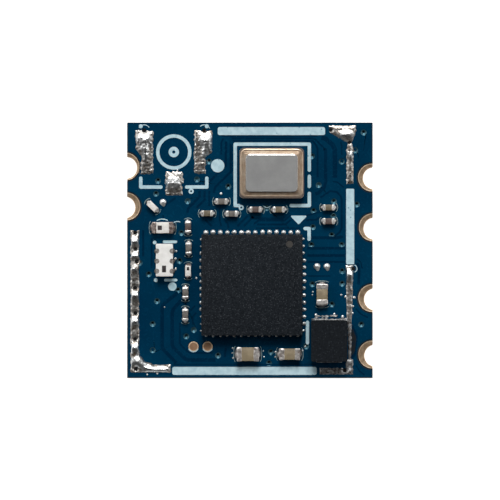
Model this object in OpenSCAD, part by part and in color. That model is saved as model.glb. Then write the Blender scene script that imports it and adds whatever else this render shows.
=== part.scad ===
// Wifi module: a small castellated radio board with its chips in place.
// Origin at the middle of the underside. +Y runs towards the antenna end, +Z out of the component side.

/* [Board] */
// Width of the board, along X
board_w = 12.2; // [12:0.1:13.5]
// Length of the board, along Y
board_l = 12.7; // [12.5:0.1:14]
// Thickness of the laminate with its mask
board_t = 0.8; // [0.5:0.05:1.6]
// Thickness of a bare copper land, let in flush with the mask
copper_t = 0.035; // [0.02:0.005:0.07]
// Radius of the dimple over a covered via
dimple_r = 0.13; // [0.08:0.01:0.16]
// Depth of the dimple over a covered via
dimple_d = 0.03; // [0.01:0.005:0.05]

/* [Edge pads] */
// Radius of the half hole in each edge pad
half_hole_r = 0.53; // [0.4:0.01:0.56]
// Thickness of the plating inside a half hole
plating_t = 0.03; // [0.02:0.005:0.05]
// Radius of the copper land round a half hole
edge_land_r = 0.69; // [0.66:0.01:0.8]

/* [Bare lands] */
// Radius of each round test pad
test_pad_r = 0.25; // [0.15:0.01:0.3]
// Distance between the middles of the two test pads
test_pad_pitch = 0.7; // [0.65:0.05:1]
// Thickness of the solder left on a land
solder_t = 0.08; // [0.04:0.01:0.15]
// Radius of the open vias in the soldered strips
strip_via_r = 0.1; // [0.05:0.01:0.12]
// Width of a soldered shield strip
strip_w = 0.34; // [0.24:0.02:0.36]
// Radius of the solder fillet in the corner of the left strip
strip_fillet_r = 0.7; // [0.3:0.05:0.9]
// Width of an unused pad
spare_pad_w = 0.3; // [0.2:0.01:0.34]
// Length of an unused pad
spare_pad_l = 0.36; // [0.3:0.01:0.44]

/* [Antenna socket lands] */
// Distance from the board's left edge to the middle of the missing socket
socket_in = 2.32; // [2.2:0.02:2.4]
// Middle of the missing socket, along Y, on a board of the layout's length
socket_y = 4.88; // [4.8:0.02:4.96]
// Distance from the socket's middle to the inner edge of a ground land
ground_in = 1.03; // [0.95:0.01:1.1]
// Width of a ground land
ground_w = 0.57; // [0.4:0.01:0.65]
// Length of a ground land
ground_l = 2.12; // [1.8:0.02:2.3]
// How far the upper part of a ground land stands out sideways
ground_ear = 0.3; // [0.1:0.02:0.34]
// Width of the signal land
signal_w = 0.84; // [0.6:0.02:1]
// Length of the signal land
signal_l = 1.14; // [0.8:0.02:1.2]

/* [Printed marks] */
// Thickness of the printed ink
ink_t = 0.02; // [0.01:0.005:0.03]
// Width of the broad bars along the edges
bar_w = 0.4; // [0.3:0.02:0.44]
// Width of the printed lines
line_w = 0.17; // [0.1:0.01:0.2]
// Outer radius of the ring round the socket's middle
ring_r = 0.88; // [0.8:0.01:0.95]

/* [Processor] */
// Side of the square package
qfn_w = 5; // [4.8:0.05:5.2]
// Height of the package
qfn_h = 0.8; // [0.6:0.05:1]
// Clear distance between the package's solder and the inductor
qfn_gap = 0.29; // [0.24:0.01:0.34]
// Middle of the package, along Y, on a board of the layout's length
qfn_y = -1.72; // [-1.8:0.02:-1.64]
// Distance from lead to lead
lead_pitch = 0.35; // [0.33:0.01:0.36]
// Width of one lead
lead_w = 0.18; // [0.12:0.01:0.22]
// Length of a lead under the package
lead_l = 0.35; // [0.25:0.01:0.5]
// Length of the short leads next to each corner
corner_lead_l = 0.1; // [0.06:0.01:0.12]
// Height of a lead, half buried in the package
lead_h = 0.2; // [0.1:0.01:0.3]
// How far the solder stands out past a lead
lead_toe = 0.06; // [0.02:0.01:0.1]
// Side of the square thermal pad
thermal_w = 3.6; // [3:0.1:4]
// Radius of the pin one dimple
pin_mark_r = 0.17; // [0.1:0.01:0.25]

/* [Crystal] */
// Width of the ceramic base, along X
crystal_w = 3.2; // [3:0.05:3.3]
// Length of the ceramic base, along Y
crystal_l = 2.5; // [2.4:0.05:2.55]
// Height of the ceramic base
crystal_h = 0.5; // [0.4:0.02:0.7]
// Width of the ceramic rim outside the seal ring
crystal_rim = 0.05; // [0.02:0.01:0.1]
// Height of the seal ring
seal_h = 0.06; // [0.03:0.01:0.1]
// Width of the seal ring seen outside the lid
seal_show = 0.26; // [0.15:0.01:0.3]
// Width of the ring hidden under the lid
seal_under = 0.2; // [0.1:0.01:0.25]
// Thickness of the lid
lid_t = 0.09; // [0.05:0.01:0.15]
// Thickness of the quartz blank
blank_t = 0.05; // [0.03:0.01:0.1]

/* [Inductor] */
// Width of the core, along X
coil_w = 1.78; // [1.5:0.02:1.82]
// Length of the core, along Y
coil_l = 2.04; // [1.8:0.02:2.06]
// Height of the core
coil_h = 0.9; // [0.7:0.05:1.2]
// Thickness of the terminal strap
strap_t = 0.05; // [0.03:0.01:0.08]
// Width of the terminal strap
strap_w = 1.3; // [1:0.05:1.5]
// Clear distance between the core and the soldered shield strip
coil_gap = 0.07; // [0.03:0.01:0.15]

/* [Filter] */
// Width of the filter, along X
filter_w = 0.85; // [0.7:0.01:0.9]
// Length of the filter, along Y
filter_l = 1.62; // [1.5:0.02:1.66]
// Height of the filter
filter_h = 0.6; // [0.4:0.02:0.8]
// Distance from terminal to terminal
filter_pitch = 0.5; // [0.4:0.01:0.55]
// Width of one filter terminal
filter_pin_w = 0.22; // [0.15:0.01:0.26]

/* [Chip parts] */
// Length of a small chip
small_l = 0.6; // [0.55:0.01:0.64]
// Width of a small chip
small_w = 0.31; // [0.26:0.01:0.34]
// Height of a small chip
small_h = 0.3; // [0.2:0.01:0.35]
// Length of a medium chip
medium_l = 1.05; // [0.95:0.01:1.1]
// Width of a medium chip
medium_w = 0.57; // [0.45:0.01:0.6]
// Height of a medium chip
medium_h = 0.45; // [0.3:0.01:0.55]
// Length of a large chip
large_l = 1.1; // [1:0.01:1.16]
// Width of a large chip
large_w = 0.69; // [0.6:0.01:0.72]
// Height of a large chip
large_h = 0.55; // [0.4:0.01:0.65]
// Share of a chip's length that each end cap covers
cap_share = 0.22; // [0.15:0.01:0.26]
// Wall of an end cap
cap_wall = 0.02; // [0.01:0.005:0.03]
// Radius of the long edges of a chip
chip_edge_r = 0.03; // [0.02:0.005:0.04]
// Reach of the solder fillet past each end of a chip
foot_l = 0.09; // [0.04:0.01:0.1]
// Thickness of the solder under a package
joint_t = 0.04; // [0.02:0.01:0.06]

/* [Hidden] */
$fn = 32;
right_edge = board_w / 2;
top_edge = board_l / 2;

// Width and length of the board that the places below are written for. They spread with the real board.
LAYOUT = [12.2, 12.7];
function along(x) = x * board_w / LAYOUT[0];
function up(y) = y * board_l / LAYOUT[1];
function spread(place) = [along(place[0]), up(place[1])];

// Edge pads from the antenna end down: place along the edge, how far the land's middle and the drilled
// hole's middle stand outside the edge, and how far the hole has wandered towards -Y.
LEFT_PADS = [[4.16, 0.08, 0.04, 0.06], [2.17, 0.03, 0.13, 0.04]];
RIGHT_PADS = [
    [3.61, -0.04, 0.05, 0.03], [1.14, 0, 0.08, 0.06], [-2.38, -0.03, 0.11, 0.05], [-5.18, -0.03, 0.12, 0.05]
];

// Covered vias that leave a dimple in the mask
VIAS = [
    [-4.56, 3.47], [-4.66, 2.83], [-3.07, 2.43], [-3.4, 0.88], [-2.64, 3.52], [-1.07, 3.18], [-2.03, 4.42],
    [3.06, 4.68], [3.42, 3.25], [3.16, 1.95], [3.08, 1.12], [3.05, 0.28], [4.17, 2.45], [4.17, 1.72],
    [4.07, 0.75], [4.55, 0.27], [5.32, 2.28], [5.65, 5.85], [4.55, 4.42], [-5.02, -1.17], [-4.61, -2.5],
    [-3.49, -0.52], [-3.55, -1.97], [-4.82, -3.65], [-4.83, -4.96], [-2.79, -3.95], [-3.16, -4.27],
    [-1.58, -5.23], [1.04, -5.05], [0.95, -5.6], [2.79, -4.77], [3.06, -1.7], [4.58, -1], [4.58, -1.64],
    [4.2, -2.68], [5.54, -3.72]
];
// Soldered shield strips
left_strip_x = along(-5.69);
left_strip_top = up(0.97);
left_arm_y = -top_edge + 0.43;
left_arm_end = left_strip_x + 1.74;
LEFT_STRIP_VIAS = [0.84, 0.07, -0.55, -1.87, -3.1, -4.43, -5.9];
right_strip_x = along(4.98);
right_strip_outer = right_strip_x + strip_w / 2;
upper_arm_y = top_edge - 0.38;
upper_arm_start = right_strip_x - 1.01;
upper_strip_bottom = up(3.3);
upper_web = 0.55;
lower_strip_top = up(-0.78);
lower_head_l = 0.5;
lower_strip_w = 0.26;
lower_arm_y = -top_edge + 0.36;
lower_arm_start = right_strip_x - 1.52;

// Antenna socket: its middle and the lower edge of its signal land
SOCKET = [-right_edge + socket_in, up(socket_y)];
signal_lap = 0.04;
signal_bottom = SOCKET[1] - ground_l / 2 - signal_l + signal_lap;

// Unused pads: place and turn
antenna_pad = [SOCKET[0] - 0.52, signal_bottom - 0.37];
SPARE_PADS = [concat(antenna_pad, 45), [along(3.34), up(-0.86), 0], [along(3.83), up(-0.86), 0]];
test_pad_x = along(-2.45);
test_pad_y = up(-4.78);

// Inductor, beside the right strip
coil_x = right_strip_outer - lower_strip_w - coil_gap - coil_w / 2;
coil_y = up(-4.49);
coil_corner = 0.06;
strap_h = coil_h / 2;
strap_under = 0.4;

// Processor, beside the inductor: its middle, its reach with the solder and the leads that fit on one side
qfn_reach = qfn_w / 2 + lead_toe + lead_w / 2;
QFN = [coil_x - coil_w / 2 - qfn_gap - qfn_reach, up(qfn_y)];
side_leads = floor((qfn_w - 0.28) / lead_pitch) + 1;

// Column of chips left of the processor, and the bias coil beside it. They share the free width between
// the processor and the left strip.
left_strip_inner = left_strip_x + strip_w / 2;
bias_reach = medium_l / 2 + foot_l;
left_free = QFN[0] - qfn_reach - left_strip_inner - small_w - 2 * bias_reach;
column_x = QFN[0] - qfn_reach - 0.255 * left_free - small_w / 2;
bias_x = left_strip_inner + 0.402 * left_free + bias_reach;

// Crystal
crystal_x = along(1.08);
crystal_y = up(3.83);
crystal_corner_r = 0.2;
lid_w = crystal_w - 2 * (crystal_rim + seal_show);
lid_l = crystal_l - 2 * (crystal_rim + seal_show);
cavity_w = lid_w - 2 * seal_under;
cavity_l = lid_l - 2 * seal_under;
cavity_d = 0.3 * crystal_h / 0.5;
ledge_w = 0.35;
ledge_h = cavity_d / 3;
blank_clear = 0.08;

// Filter, below the bias coil
filter_x = bias_x + 0.095;
filter_y = up(-0.49);
filter_mid_pin = -0.05;
filter_pin_d = 0.2;

// Chips: name, middle, turn, size and colour of the body
SMALL = [small_l, small_w, small_h];
MEDIUM = [medium_l, medium_w, medium_h];
LARGE = [large_l, large_w, large_h];
WHITE = [0.87, 0.85, 0.82];
TAN = [0.55, 0.49, 0.4];
GREY = [0.42, 0.4, 0.38];
BROWN = [0.38, 0.3, 0.26];
CHIPS = [
    ["antenna_coil", antenna_pad + [-0.53, -0.18], -45, SMALL, WHITE],
    ["upper_cap_1", [crystal_x - crystal_w / 2 - 0.89, up(2.42)], 0, SMALL, GREY],
    ["upper_cap_2", spread([-2.12, 1.83]), 0, SMALL, BROWN],
    ["upper_cap_3", spread([-0.9, 1.81]), 0, SMALL, GREY],
    ["upper_cap_4", spread([0.28, 2.02]), 0, SMALL, BROWN],
    ["upper_cap_5", spread([1.43, 2.02]), 0, SMALL, BROWN],
    ["right_cap_1", spread([3.91, 2.12]), 0, SMALL, BROWN],
    ["right_cap_2", spread([3.91, 1.44]), 0, SMALL, BROWN],
    ["bias_coil", [bias_x, up(1.12)], 0, MEDIUM, WHITE],
    ["left_cap_1", [column_x, up(1.15)], 90, SMALL, BROWN],
    ["left_cap_2", [column_x + 0.03, up(0.09)], 90, SMALL, GREY],
    ["match_coil", [column_x, up(-1.02)], 90, SMALL, WHITE],
    ["left_cap_3", [column_x - 0.13, up(-2.11)], 90, SMALL, GREY],
    ["left_cap_4", [column_x - 0.14, up(-3.21)], 90, SMALL, GREY],
    ["bulk_cap_1", spread([-0.11, -5.15]), 0, LARGE, TAN],
    ["bulk_cap_2", spread([1.97, -5.15]), 0, MEDIUM, TAN],
    ["output_cap", spread([3.58, -2.19]), 90, MEDIUM, TAN]
];

// ---- Shared shapes ----

// Lifts its children onto the component side
module on_board() {
    translate([0, 0, board_t]) children();
}

// Flat slab centred on the origin, standing on Z = 0
module slab(w, l, t) {
    translate([-w / 2, -l / 2, 0]) cube([w, l, t]);
}

// Outline of a rectangle with round corners, centred on the origin
module round_rect(w, l, r) {
    square([w, l - 2 * r], center = true);
    square([w - 2 * r, l], center = true);
    for (x = [-1, 1], y = [-1, 1]) {
        translate([x * (w / 2 - r), y * (l / 2 - r)]) circle(r);
    }
}

// Outline of the rectangle between two corners
module span(low, high) {
    translate(low) square(high - low);
}

// Outline of a line with round ends through a list of points
module path(points, width) {
    for (i = [0:len(points) - 2]) {
        a = points[i];
        b = points[i + 1];
        translate(a) circle(d = width);
        translate(b) circle(d = width);
        translate(a) rotate(atan2(b[1] - a[1], b[0] - a[0]))
        translate([0, -width / 2]) square([norm(b - a), width]);
    }
}

// Outline of a ring
module ring(outer, inner) {
    difference() {
        circle(outer);
        circle(inner);
    }
}

// ---- Board and its bare lands ----

// Places its children at each edge pad: the first at the land's middle, the second at the hole's
module at_edge_pads(pads, side, which) {
    for (pad = pads) {
        land = [side * (right_edge + pad[1]), up(pad[0]), 0];
        hole = [side * (right_edge + pad[2]), up(pad[0]) - pad[3], 0];
        translate(which == "land" ? land : hole) children();
    }
}

module test_pad_places() {
    for (side = [-1, 1]) {
        translate([test_pad_x + side * test_pad_pitch / 2, test_pad_y, board_t - copper_t]) children();
    }
}

// Lands on both faces and the plated wall between them, before the hole is drilled
module edge_pad_stock(pads, side) {
    at_edge_pads(pads, side, "land") {
        cylinder(r = edge_land_r, h = copper_t);
        translate([0, 0, board_t - copper_t]) cylinder(r = edge_land_r, h = copper_t);
    }
    at_edge_pads(pads, side, "hole") cylinder(r = half_hole_r + plating_t, h = board_t);
}

module edge_pads(pads, side) {
    color([0.72, 0.57, 0.38])
    intersection() {
        difference() {
            edge_pad_stock(pads, side);
            at_edge_pads(pads, side, "hole") translate([0, 0, -1]) cylinder(r = half_hole_r, h = board_t + 2);
        }
        slab(board_w, board_l, board_t);
    }
}

module circuit_board() {
    dimple_ball_r = (dimple_r * dimple_r + dimple_d * dimple_d) / (2 * dimple_d);
    color([0.02, 0.17, 0.28])
    difference() {
        slab(board_w, board_l, board_t);
        edge_pad_stock(LEFT_PADS, -1);
        edge_pad_stock(RIGHT_PADS, 1);
        test_pad_places() cylinder(r = test_pad_r, h = copper_t);
        for (via = VIAS) {
            translate(concat(spread(via), board_t - dimple_d + dimple_ball_r)) sphere(dimple_ball_r);
        }
    }
}

module left_edge_pads() {
    edge_pads(LEFT_PADS, -1);
}

module right_edge_pads() {
    edge_pads(RIGHT_PADS, 1);
}

module test_pads() {
    color([0.75, 0.55, 0.38]) test_pad_places() cylinder(r = test_pad_r, h = copper_t);
}

// ---- Solder left on the lands of the missing socket and shield ----

// Ground land on the +X side of the socket: a bar whose upper half stands out sideways
module ground_land() {
    half = ground_l / 2;
    outer = ground_in + ground_w;
    on_board()
    linear_extrude(solder_t)
    difference() {
        polygon([
            [ground_in, -half], [outer, -half], [outer, -half / 2], [outer + ground_ear, 0.1 * half],
            [outer + ground_ear, half], [ground_in, half]
        ]);
        translate([outer - strip_via_r, half]) circle(strip_via_r);
    }
}

module antenna_land_left() {
    color([0.72, 0.71, 0.68]) translate(SOCKET) mirror([1, 0, 0]) ground_land();
}

module antenna_land_right() {
    color([0.72, 0.71, 0.68]) translate(SOCKET) ground_land();
}

module antenna_land_signal() {
    color([0.78, 0.76, 0.72])
    translate([SOCKET[0], signal_bottom + signal_l / 2, 0])
    on_board()
    linear_extrude(solder_t) round_rect(signal_w, signal_l, 0.08);
}

module shield_land_left() {
    low = [left_strip_x - strip_w / 2, left_arm_y - strip_w / 2];
    corner = low + [strip_w, strip_w];
    // The fillet's arc crosses both edges at a slight angle, so it leaves no feather edge
    arc_r = 1.02 * strip_fillet_r;
    color([0.68, 0.67, 0.65])
    on_board()
    linear_extrude(solder_t)
    difference() {
        union() {
            span(low, [corner[0], left_strip_top]);
            span(low, [left_arm_end, corner[1]]);
            difference() {
                translate(corner) square(strip_fillet_r);
                translate(corner + [strip_fillet_r, strip_fillet_r]) circle(arc_r);
            }
        }
        for (y = LEFT_STRIP_VIAS) {
            translate([left_strip_x, up(y)]) circle(strip_via_r);
        }
    }
}

module shield_land_top_right() {
    inner = [right_strip_x - strip_w / 2, upper_arm_y - strip_w / 2];
    color([0.68, 0.67, 0.65])
    on_board()
    linear_extrude(solder_t)
    union() {
        span([upper_arm_start, inner[1]], [right_strip_outer, upper_arm_y + strip_w / 2]);
        span([inner[0], upper_strip_bottom], [right_strip_outer, upper_arm_y + strip_w / 2]);
        translate(inner) polygon([[0, 0], [-upper_web, 0], [0, -upper_web]]);
    }
}

module shield_land_bottom_right() {
    color([0.6, 0.6, 0.6])
    on_board()
    linear_extrude(solder_t)
    difference() {
        union() {
            span([right_strip_outer - strip_w, lower_strip_top - lower_head_l], [right_strip_outer, lower_strip_top]);
            span([right_strip_outer - lower_strip_w, lower_arm_y], [right_strip_outer, lower_strip_top]);
            span([lower_arm_start, lower_arm_y - strip_w / 2], [right_strip_outer, lower_arm_y + strip_w / 2]);
        }
        translate([right_strip_outer, lower_strip_top - 0.13]) circle(strip_via_r);
        translate([right_strip_outer - 0.38, lower_arm_y]) circle(strip_via_r);
    }
}

module spare_pads() {
    color([0.72, 0.71, 0.68])
    on_board()
    for (pad = SPARE_PADS) {
        translate([pad[0], pad[1], 0]) rotate([0, 0, pad[2]])
        linear_extrude(solder_t) round_rect(spare_pad_w, spare_pad_l, 0.08);
    }
}

// ---- Printed marks ----

// Bar from a start to an end point, with corners of the given radius
module bar(start, end, corner_r) {
    run = end - start;
    translate((start + end) / 2) rotate(atan2(run[1], run[0])) round_rect(norm(run), bar_w, corner_r);
}

// Broad bars that close the gaps between the shield strips
module border_marks() {
    upper_y = top_edge - 0.43;
    lower_y = -top_edge + 0.36;
    socket_right = SOCKET[0] + ground_in + ground_w + ground_ear;
    bar([socket_right + 0.285, upper_y], [upper_arm_start - 0.235, upper_y], bar_w / 4);
    bar([left_arm_end + 0.095, lower_y], [lower_arm_start - 0.145, lower_y], bar_w / 4);
    bar([right_strip_x, lower_strip_top + 0.085], [right_strip_x, upper_strip_bottom - 0.245], bar_w / 8);
}

// Broken frame round the crystal
module crystal_marks() {
    low = [crystal_x - crystal_w / 2 - 0.21, crystal_y - crystal_l / 2 - 0.36];
    high = [crystal_x + crystal_w / 2 + 0.27, crystal_y + crystal_l / 2 + 0.19];
    path([low + [0.18, 0], low, [low[0], high[1]], high, [high[0], high[1] - 1.29]], line_w);
    path([[high[0], high[1] - 1.6], [high[0], high[1] - 2.1]], line_w);
    path([[high[0], high[1] - 2.45], [high[0], low[1]], [high[0] - 0.9, low[1]]], line_w);
}

// Ring, brackets and dots of the antenna socket
module socket_marks() {
    translate(SOCKET) ring(ring_r, ring_r - line_w);
    translate(SOCKET) ring(0.26, 0.08);
    for (side = [-1, 1]) {
        x = SOCKET[0] + side * (ground_in + ground_w + 0.04);
        y = SOCKET[1] - ground_l / 2 - 0.68;
        path([[x, y + 0.44], [x, y], [x - side * 1, y]], line_w);
        translate([x, SOCKET[1] + ground_l / 2 + 0.22]) circle(0.1);
    }
}

// Corner dots and end lines of the filter
module filter_marks() {
    low = [filter_x - filter_w / 2, filter_y - filter_l / 2];
    high = [filter_x + filter_w / 2, filter_y + filter_l / 2];
    translate([low[0] - 0.07, high[1] + 0.07]) circle(0.09);
    path([[filter_x - 0.02, high[1] + 0.1], [high[0] + 0.13, high[1] + 0.1]], 0.14);
    translate([low[0] - 0.01, low[1] - 0.18]) circle(0.1);
    path([[filter_x + 0.04, low[1] - 0.18], [high[0] + 0.14, low[1] - 0.18]], 0.14);
}

// Arrow, corner and side line of the processor
module processor_marks() {
    tip = spread([2.42, 1.33]);
    arrow = [tip + [-0.34, 0.35], tip + [0.34, 0.35], tip];
    polygon(arrow);
    path(concat(arrow, [arrow[0]]), 0.08);
    corner = QFN + [qfn_w / 2 + 0.34, qfn_w / 2 + 0.3];
    path([corner - [0.2, 0], corner, corner - [0, 0.53]], line_w);
    side = QFN + [qfn_reach + 0.11, 0];
    path([side - [0, 1.86], side - [0, 2.87]], line_w);
}

// Round sighting marks and the rings of the open vias
module round_marks() {
    translate(SOCKET + [2.18, -0.68]) circle(0.33);
    translate([column_x - 0.78, filter_y - 1.31]) circle(0.21);
    for (via = [SOCKET + [0.86, -1.95], spread([-0.43, 2.12])]) {
        translate(via) ring(0.13, 0.05);
    }
}

module silkscreen() {
    color([0.7, 0.83, 0.87])
    on_board()
    linear_extrude(ink_t) {
        border_marks();
        crystal_marks();
        socket_marks();
        filter_marks();
        processor_marks();
        round_marks();
    }
}

// ---- Processor ----

// Places its children at the outer end of each lead, with +Y pointing away from the package.
// $inner is the length of that lead under the package.
module at_leads() {
    translate(concat(QFN, board_t))
    for (side = [0:3], i = [1:side_leads]) {
        $inner = i == 1 || i == side_leads ? corner_lead_l : lead_l;
        rotate([0, 0, 90 * side]) translate([(i - (side_leads + 1) / 2) * lead_pitch, qfn_w / 2, 0]) children();
    }
}

module processor_body() {
    color([0.13, 0.14, 0.16])
    difference() {
        translate(concat(QFN, board_t + joint_t)) slab(qfn_w, qfn_w, qfn_h);
        at_leads() translate([-lead_w / 2, -$inner, 0]) cube([lead_w, $inner + 1, joint_t + lead_h]);
        translate(concat(QFN + [qfn_w / 2 - 0.64, qfn_w / 2 - 0.48], board_t + joint_t + qfn_h - 0.03))
        cylinder(r = pin_mark_r, h = 1);
    }
}

module processor_leads() {
    color([0.75, 0.77, 0.78])
    at_leads() {
        translate([-lead_w / 2, -$inner, 0]) cube([lead_w, $inner + lead_toe, joint_t + lead_h]);
        translate([0, lead_toe, 0]) cylinder(d = lead_w, h = joint_t + lead_h);
    }
}

module processor_thermal_pad() {
    color([0.75, 0.77, 0.78]) translate(concat(QFN, board_t)) slab(thermal_w, thermal_w, joint_t);
}

// ---- Crystal ----

module at_crystal(z) {
    translate([crystal_x, crystal_y, board_t + joint_t + z]) children();
}

module crystal_base() {
    color([0.42, 0.38, 0.34])
    at_crystal(0)
    difference() {
        linear_extrude(crystal_h) round_rect(crystal_w, crystal_l, crystal_corner_r);
        translate([0, 0, crystal_h - cavity_d]) slab(cavity_w - 2 * ledge_w, cavity_l, cavity_d);
        translate([0, 0, crystal_h - cavity_d + ledge_h]) slab(cavity_w, cavity_l, cavity_d);
    }
}

module crystal_seal_ring() {
    color([0.75, 0.6, 0.43])
    at_crystal(crystal_h)
    linear_extrude(seal_h)
    difference() {
        round_rect(crystal_w - 2 * crystal_rim, crystal_l - 2 * crystal_rim, crystal_corner_r);
        square([cavity_w, cavity_l], center = true);
    }
}

module crystal_lid() {
    color([0.55, 0.55, 0.55])
    at_crystal(crystal_h + seal_h)
    linear_extrude(lid_t) round_rect(lid_w, lid_l, crystal_corner_r);
}

module crystal_terminals() {
    pad_w = 0.3 * crystal_w;
    pad_l = 0.32 * crystal_l;
    color([0.75, 0.7, 0.6])
    at_crystal(-joint_t)
    for (x = [-1, 1], y = [-1, 1]) {
        translate([x * (crystal_w - pad_w) / 2, y * (crystal_l - pad_l) / 2, 0])
        linear_extrude(joint_t) round_rect(pad_w, pad_l, crystal_corner_r);
    }
}

module crystal_blank() {
    color([0.85, 0.9, 0.92, 0.6])
    at_crystal(crystal_h - cavity_d + ledge_h)
    slab(cavity_w - 2 * blank_clear, cavity_l - 2 * blank_clear, blank_t);
}

// ---- Inductor ----

module inductor_core() {
    color([0.12, 0.13, 0.14])
    translate([coil_x, coil_y, board_t + joint_t + strap_t])
    linear_extrude(coil_h)
    intersection() {
        square([coil_w, coil_l], center = true);
        rotate(45) square((coil_w + coil_l) / sqrt(2) - coil_corner * sqrt(2), center = true);
    }
}

module inductor_terminals() {
    color([0.7, 0.71, 0.72])
    translate([coil_x, coil_y, board_t])
    for (side = [0, 180]) {
        rotate([0, 0, side]) translate([-strap_w / 2, 0, 0]) {
            translate([0, coil_l / 2 - strap_under, 0]) cube([strap_w, strap_under + strap_t, joint_t + strap_t]);
            translate([0, coil_l / 2, 0]) cube([strap_w, strap_t, joint_t + strap_t + strap_h]);
            translate([0, coil_l / 2 + strap_t, 0]) cube([strap_w, foot_l / 2, joint_t]);
        }
    }
}

// ---- Filter ----

// Outlines of the six terminals let into the long sides
module filter_pins() {
    bulge_r = filter_pin_w / 2;
    for (side = [-1, 1], i = [-1:1]) {
        translate([side * filter_w / 2, filter_mid_pin + i * filter_pitch]) mirror([side > 0 ? 1 : 0, 0]) {
            translate([0, -bulge_r]) square([filter_pin_d - bulge_r, filter_pin_w]);
            translate([filter_pin_d - bulge_r, 0]) circle(bulge_r);
        }
    }
}

module filter_body() {
    color([0.9, 0.88, 0.86])
    translate([filter_x, filter_y, board_t + joint_t])
    linear_extrude(filter_h)
    difference() {
        square([filter_w, filter_l], center = true);
        filter_pins();
    }
}

module filter_terminals() {
    color([0.62, 0.58, 0.53])
    translate([filter_x, filter_y, board_t])
    linear_extrude(joint_t + filter_h) filter_pins();
}

// ---- Chip parts ----

// Puts its children in place on a chip's own axes: +X along the chip, Z = 0 on the board
module at_chip(chip) {
    translate(concat(chip[1], board_t)) rotate([0, 0, chip[2]]) children();
}

// Bar along X with round long edges, centred in plan
module chip_bar(l, w, h) {
    translate([-l / 2, 0, h / 2]) rotate([90, 0, 90]) linear_extrude(l) round_rect(w, h, chip_edge_r);
}

// The ends of the body are reduced by the wall of the caps that cover them
module chip_body(chip) {
    l = chip[3][0];
    w = chip[3][1];
    h = chip[3][2];
    color(chip[4])
    at_chip(chip) translate([0, 0, joint_t]) {
        chip_bar(l * (1 - 2 * cap_share), w, h);
        translate([0, 0, cap_wall]) slab(l - 2 * cap_wall, w - 2 * cap_wall, h - 2 * cap_wall);
    }
}

// Two end caps, each with the solder that holds it
module chip_terminals(chip) {
    l = chip[3][0];
    w = chip[3][1];
    h = chip[3][2];
    cap_l = l * cap_share;
    color([0.72, 0.71, 0.69])
    at_chip(chip)
    for (side = [0, 180]) {
        rotate([0, 0, side])
        difference() {
            union() {
                translate([(l - cap_l) / 2, 0, joint_t]) chip_bar(cap_l, w, h);
                translate([(l - cap_l) / 2, 0, 0]) slab(cap_l, w - 2 * chip_edge_r, joint_t + chip_edge_r);
                translate([l / 2, 0, 0]) chip_foot(w - 2 * chip_edge_r);
            }
            translate([0, 0, joint_t + cap_wall]) slab(l - 2 * cap_wall, w - 2 * cap_wall, h - 2 * cap_wall);
        }
    }
}

// Hollow solder fillet that runs out along +X
module chip_foot(width) {
    translate([0, width / 2, 0]) rotate([90, 0, 0]) linear_extrude(width)
    difference() {
        square([foot_l, joint_t + foot_l]);
        translate([foot_l, joint_t + foot_l]) circle(foot_l);
    }
}

circuit_board();
left_edge_pads();
right_edge_pads();
test_pads();
silkscreen();
antenna_land_left();
antenna_land_right();
antenna_land_signal();
shield_land_left();
shield_land_top_right();
shield_land_bottom_right();
spare_pads();
processor_body();
processor_leads();
processor_thermal_pad();
crystal_base();
crystal_seal_ring();
crystal_lid();
crystal_terminals();
crystal_blank();
inductor_core();
inductor_terminals();
filter_body();
filter_terminals();
for (chip = CHIPS) {
    chip_body(chip);
    chip_terminals(chip);
}
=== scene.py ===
"""Wifi module: a small castellated radio board with its chips soldered in place, dressed for looks."""
import logging
import math
import random
from dataclasses import dataclass, field
from enum import Enum
from typing import Iterable, Optional, Sequence

import bmesh
import bpy
from mathutils import Matrix, Vector, noise


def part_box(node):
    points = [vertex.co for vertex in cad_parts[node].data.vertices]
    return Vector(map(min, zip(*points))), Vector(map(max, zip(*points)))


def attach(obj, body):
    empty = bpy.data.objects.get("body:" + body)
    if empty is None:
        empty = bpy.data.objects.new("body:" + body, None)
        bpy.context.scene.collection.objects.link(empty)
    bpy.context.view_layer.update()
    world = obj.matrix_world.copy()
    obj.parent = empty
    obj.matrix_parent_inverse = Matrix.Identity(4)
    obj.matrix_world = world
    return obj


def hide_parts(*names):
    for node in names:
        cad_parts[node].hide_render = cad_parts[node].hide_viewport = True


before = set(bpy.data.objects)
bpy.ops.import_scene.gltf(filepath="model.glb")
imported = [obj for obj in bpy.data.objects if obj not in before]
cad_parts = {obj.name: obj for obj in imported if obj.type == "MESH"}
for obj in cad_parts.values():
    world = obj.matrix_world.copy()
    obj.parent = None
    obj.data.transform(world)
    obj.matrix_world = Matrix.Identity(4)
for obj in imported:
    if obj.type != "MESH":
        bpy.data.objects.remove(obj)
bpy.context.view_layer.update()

MM = 0.001
LOG = logging.getLogger("wifi_module")

Point = tuple[float, float]
Colour = tuple[float, float, float]


# ---- Finishes ----

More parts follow.
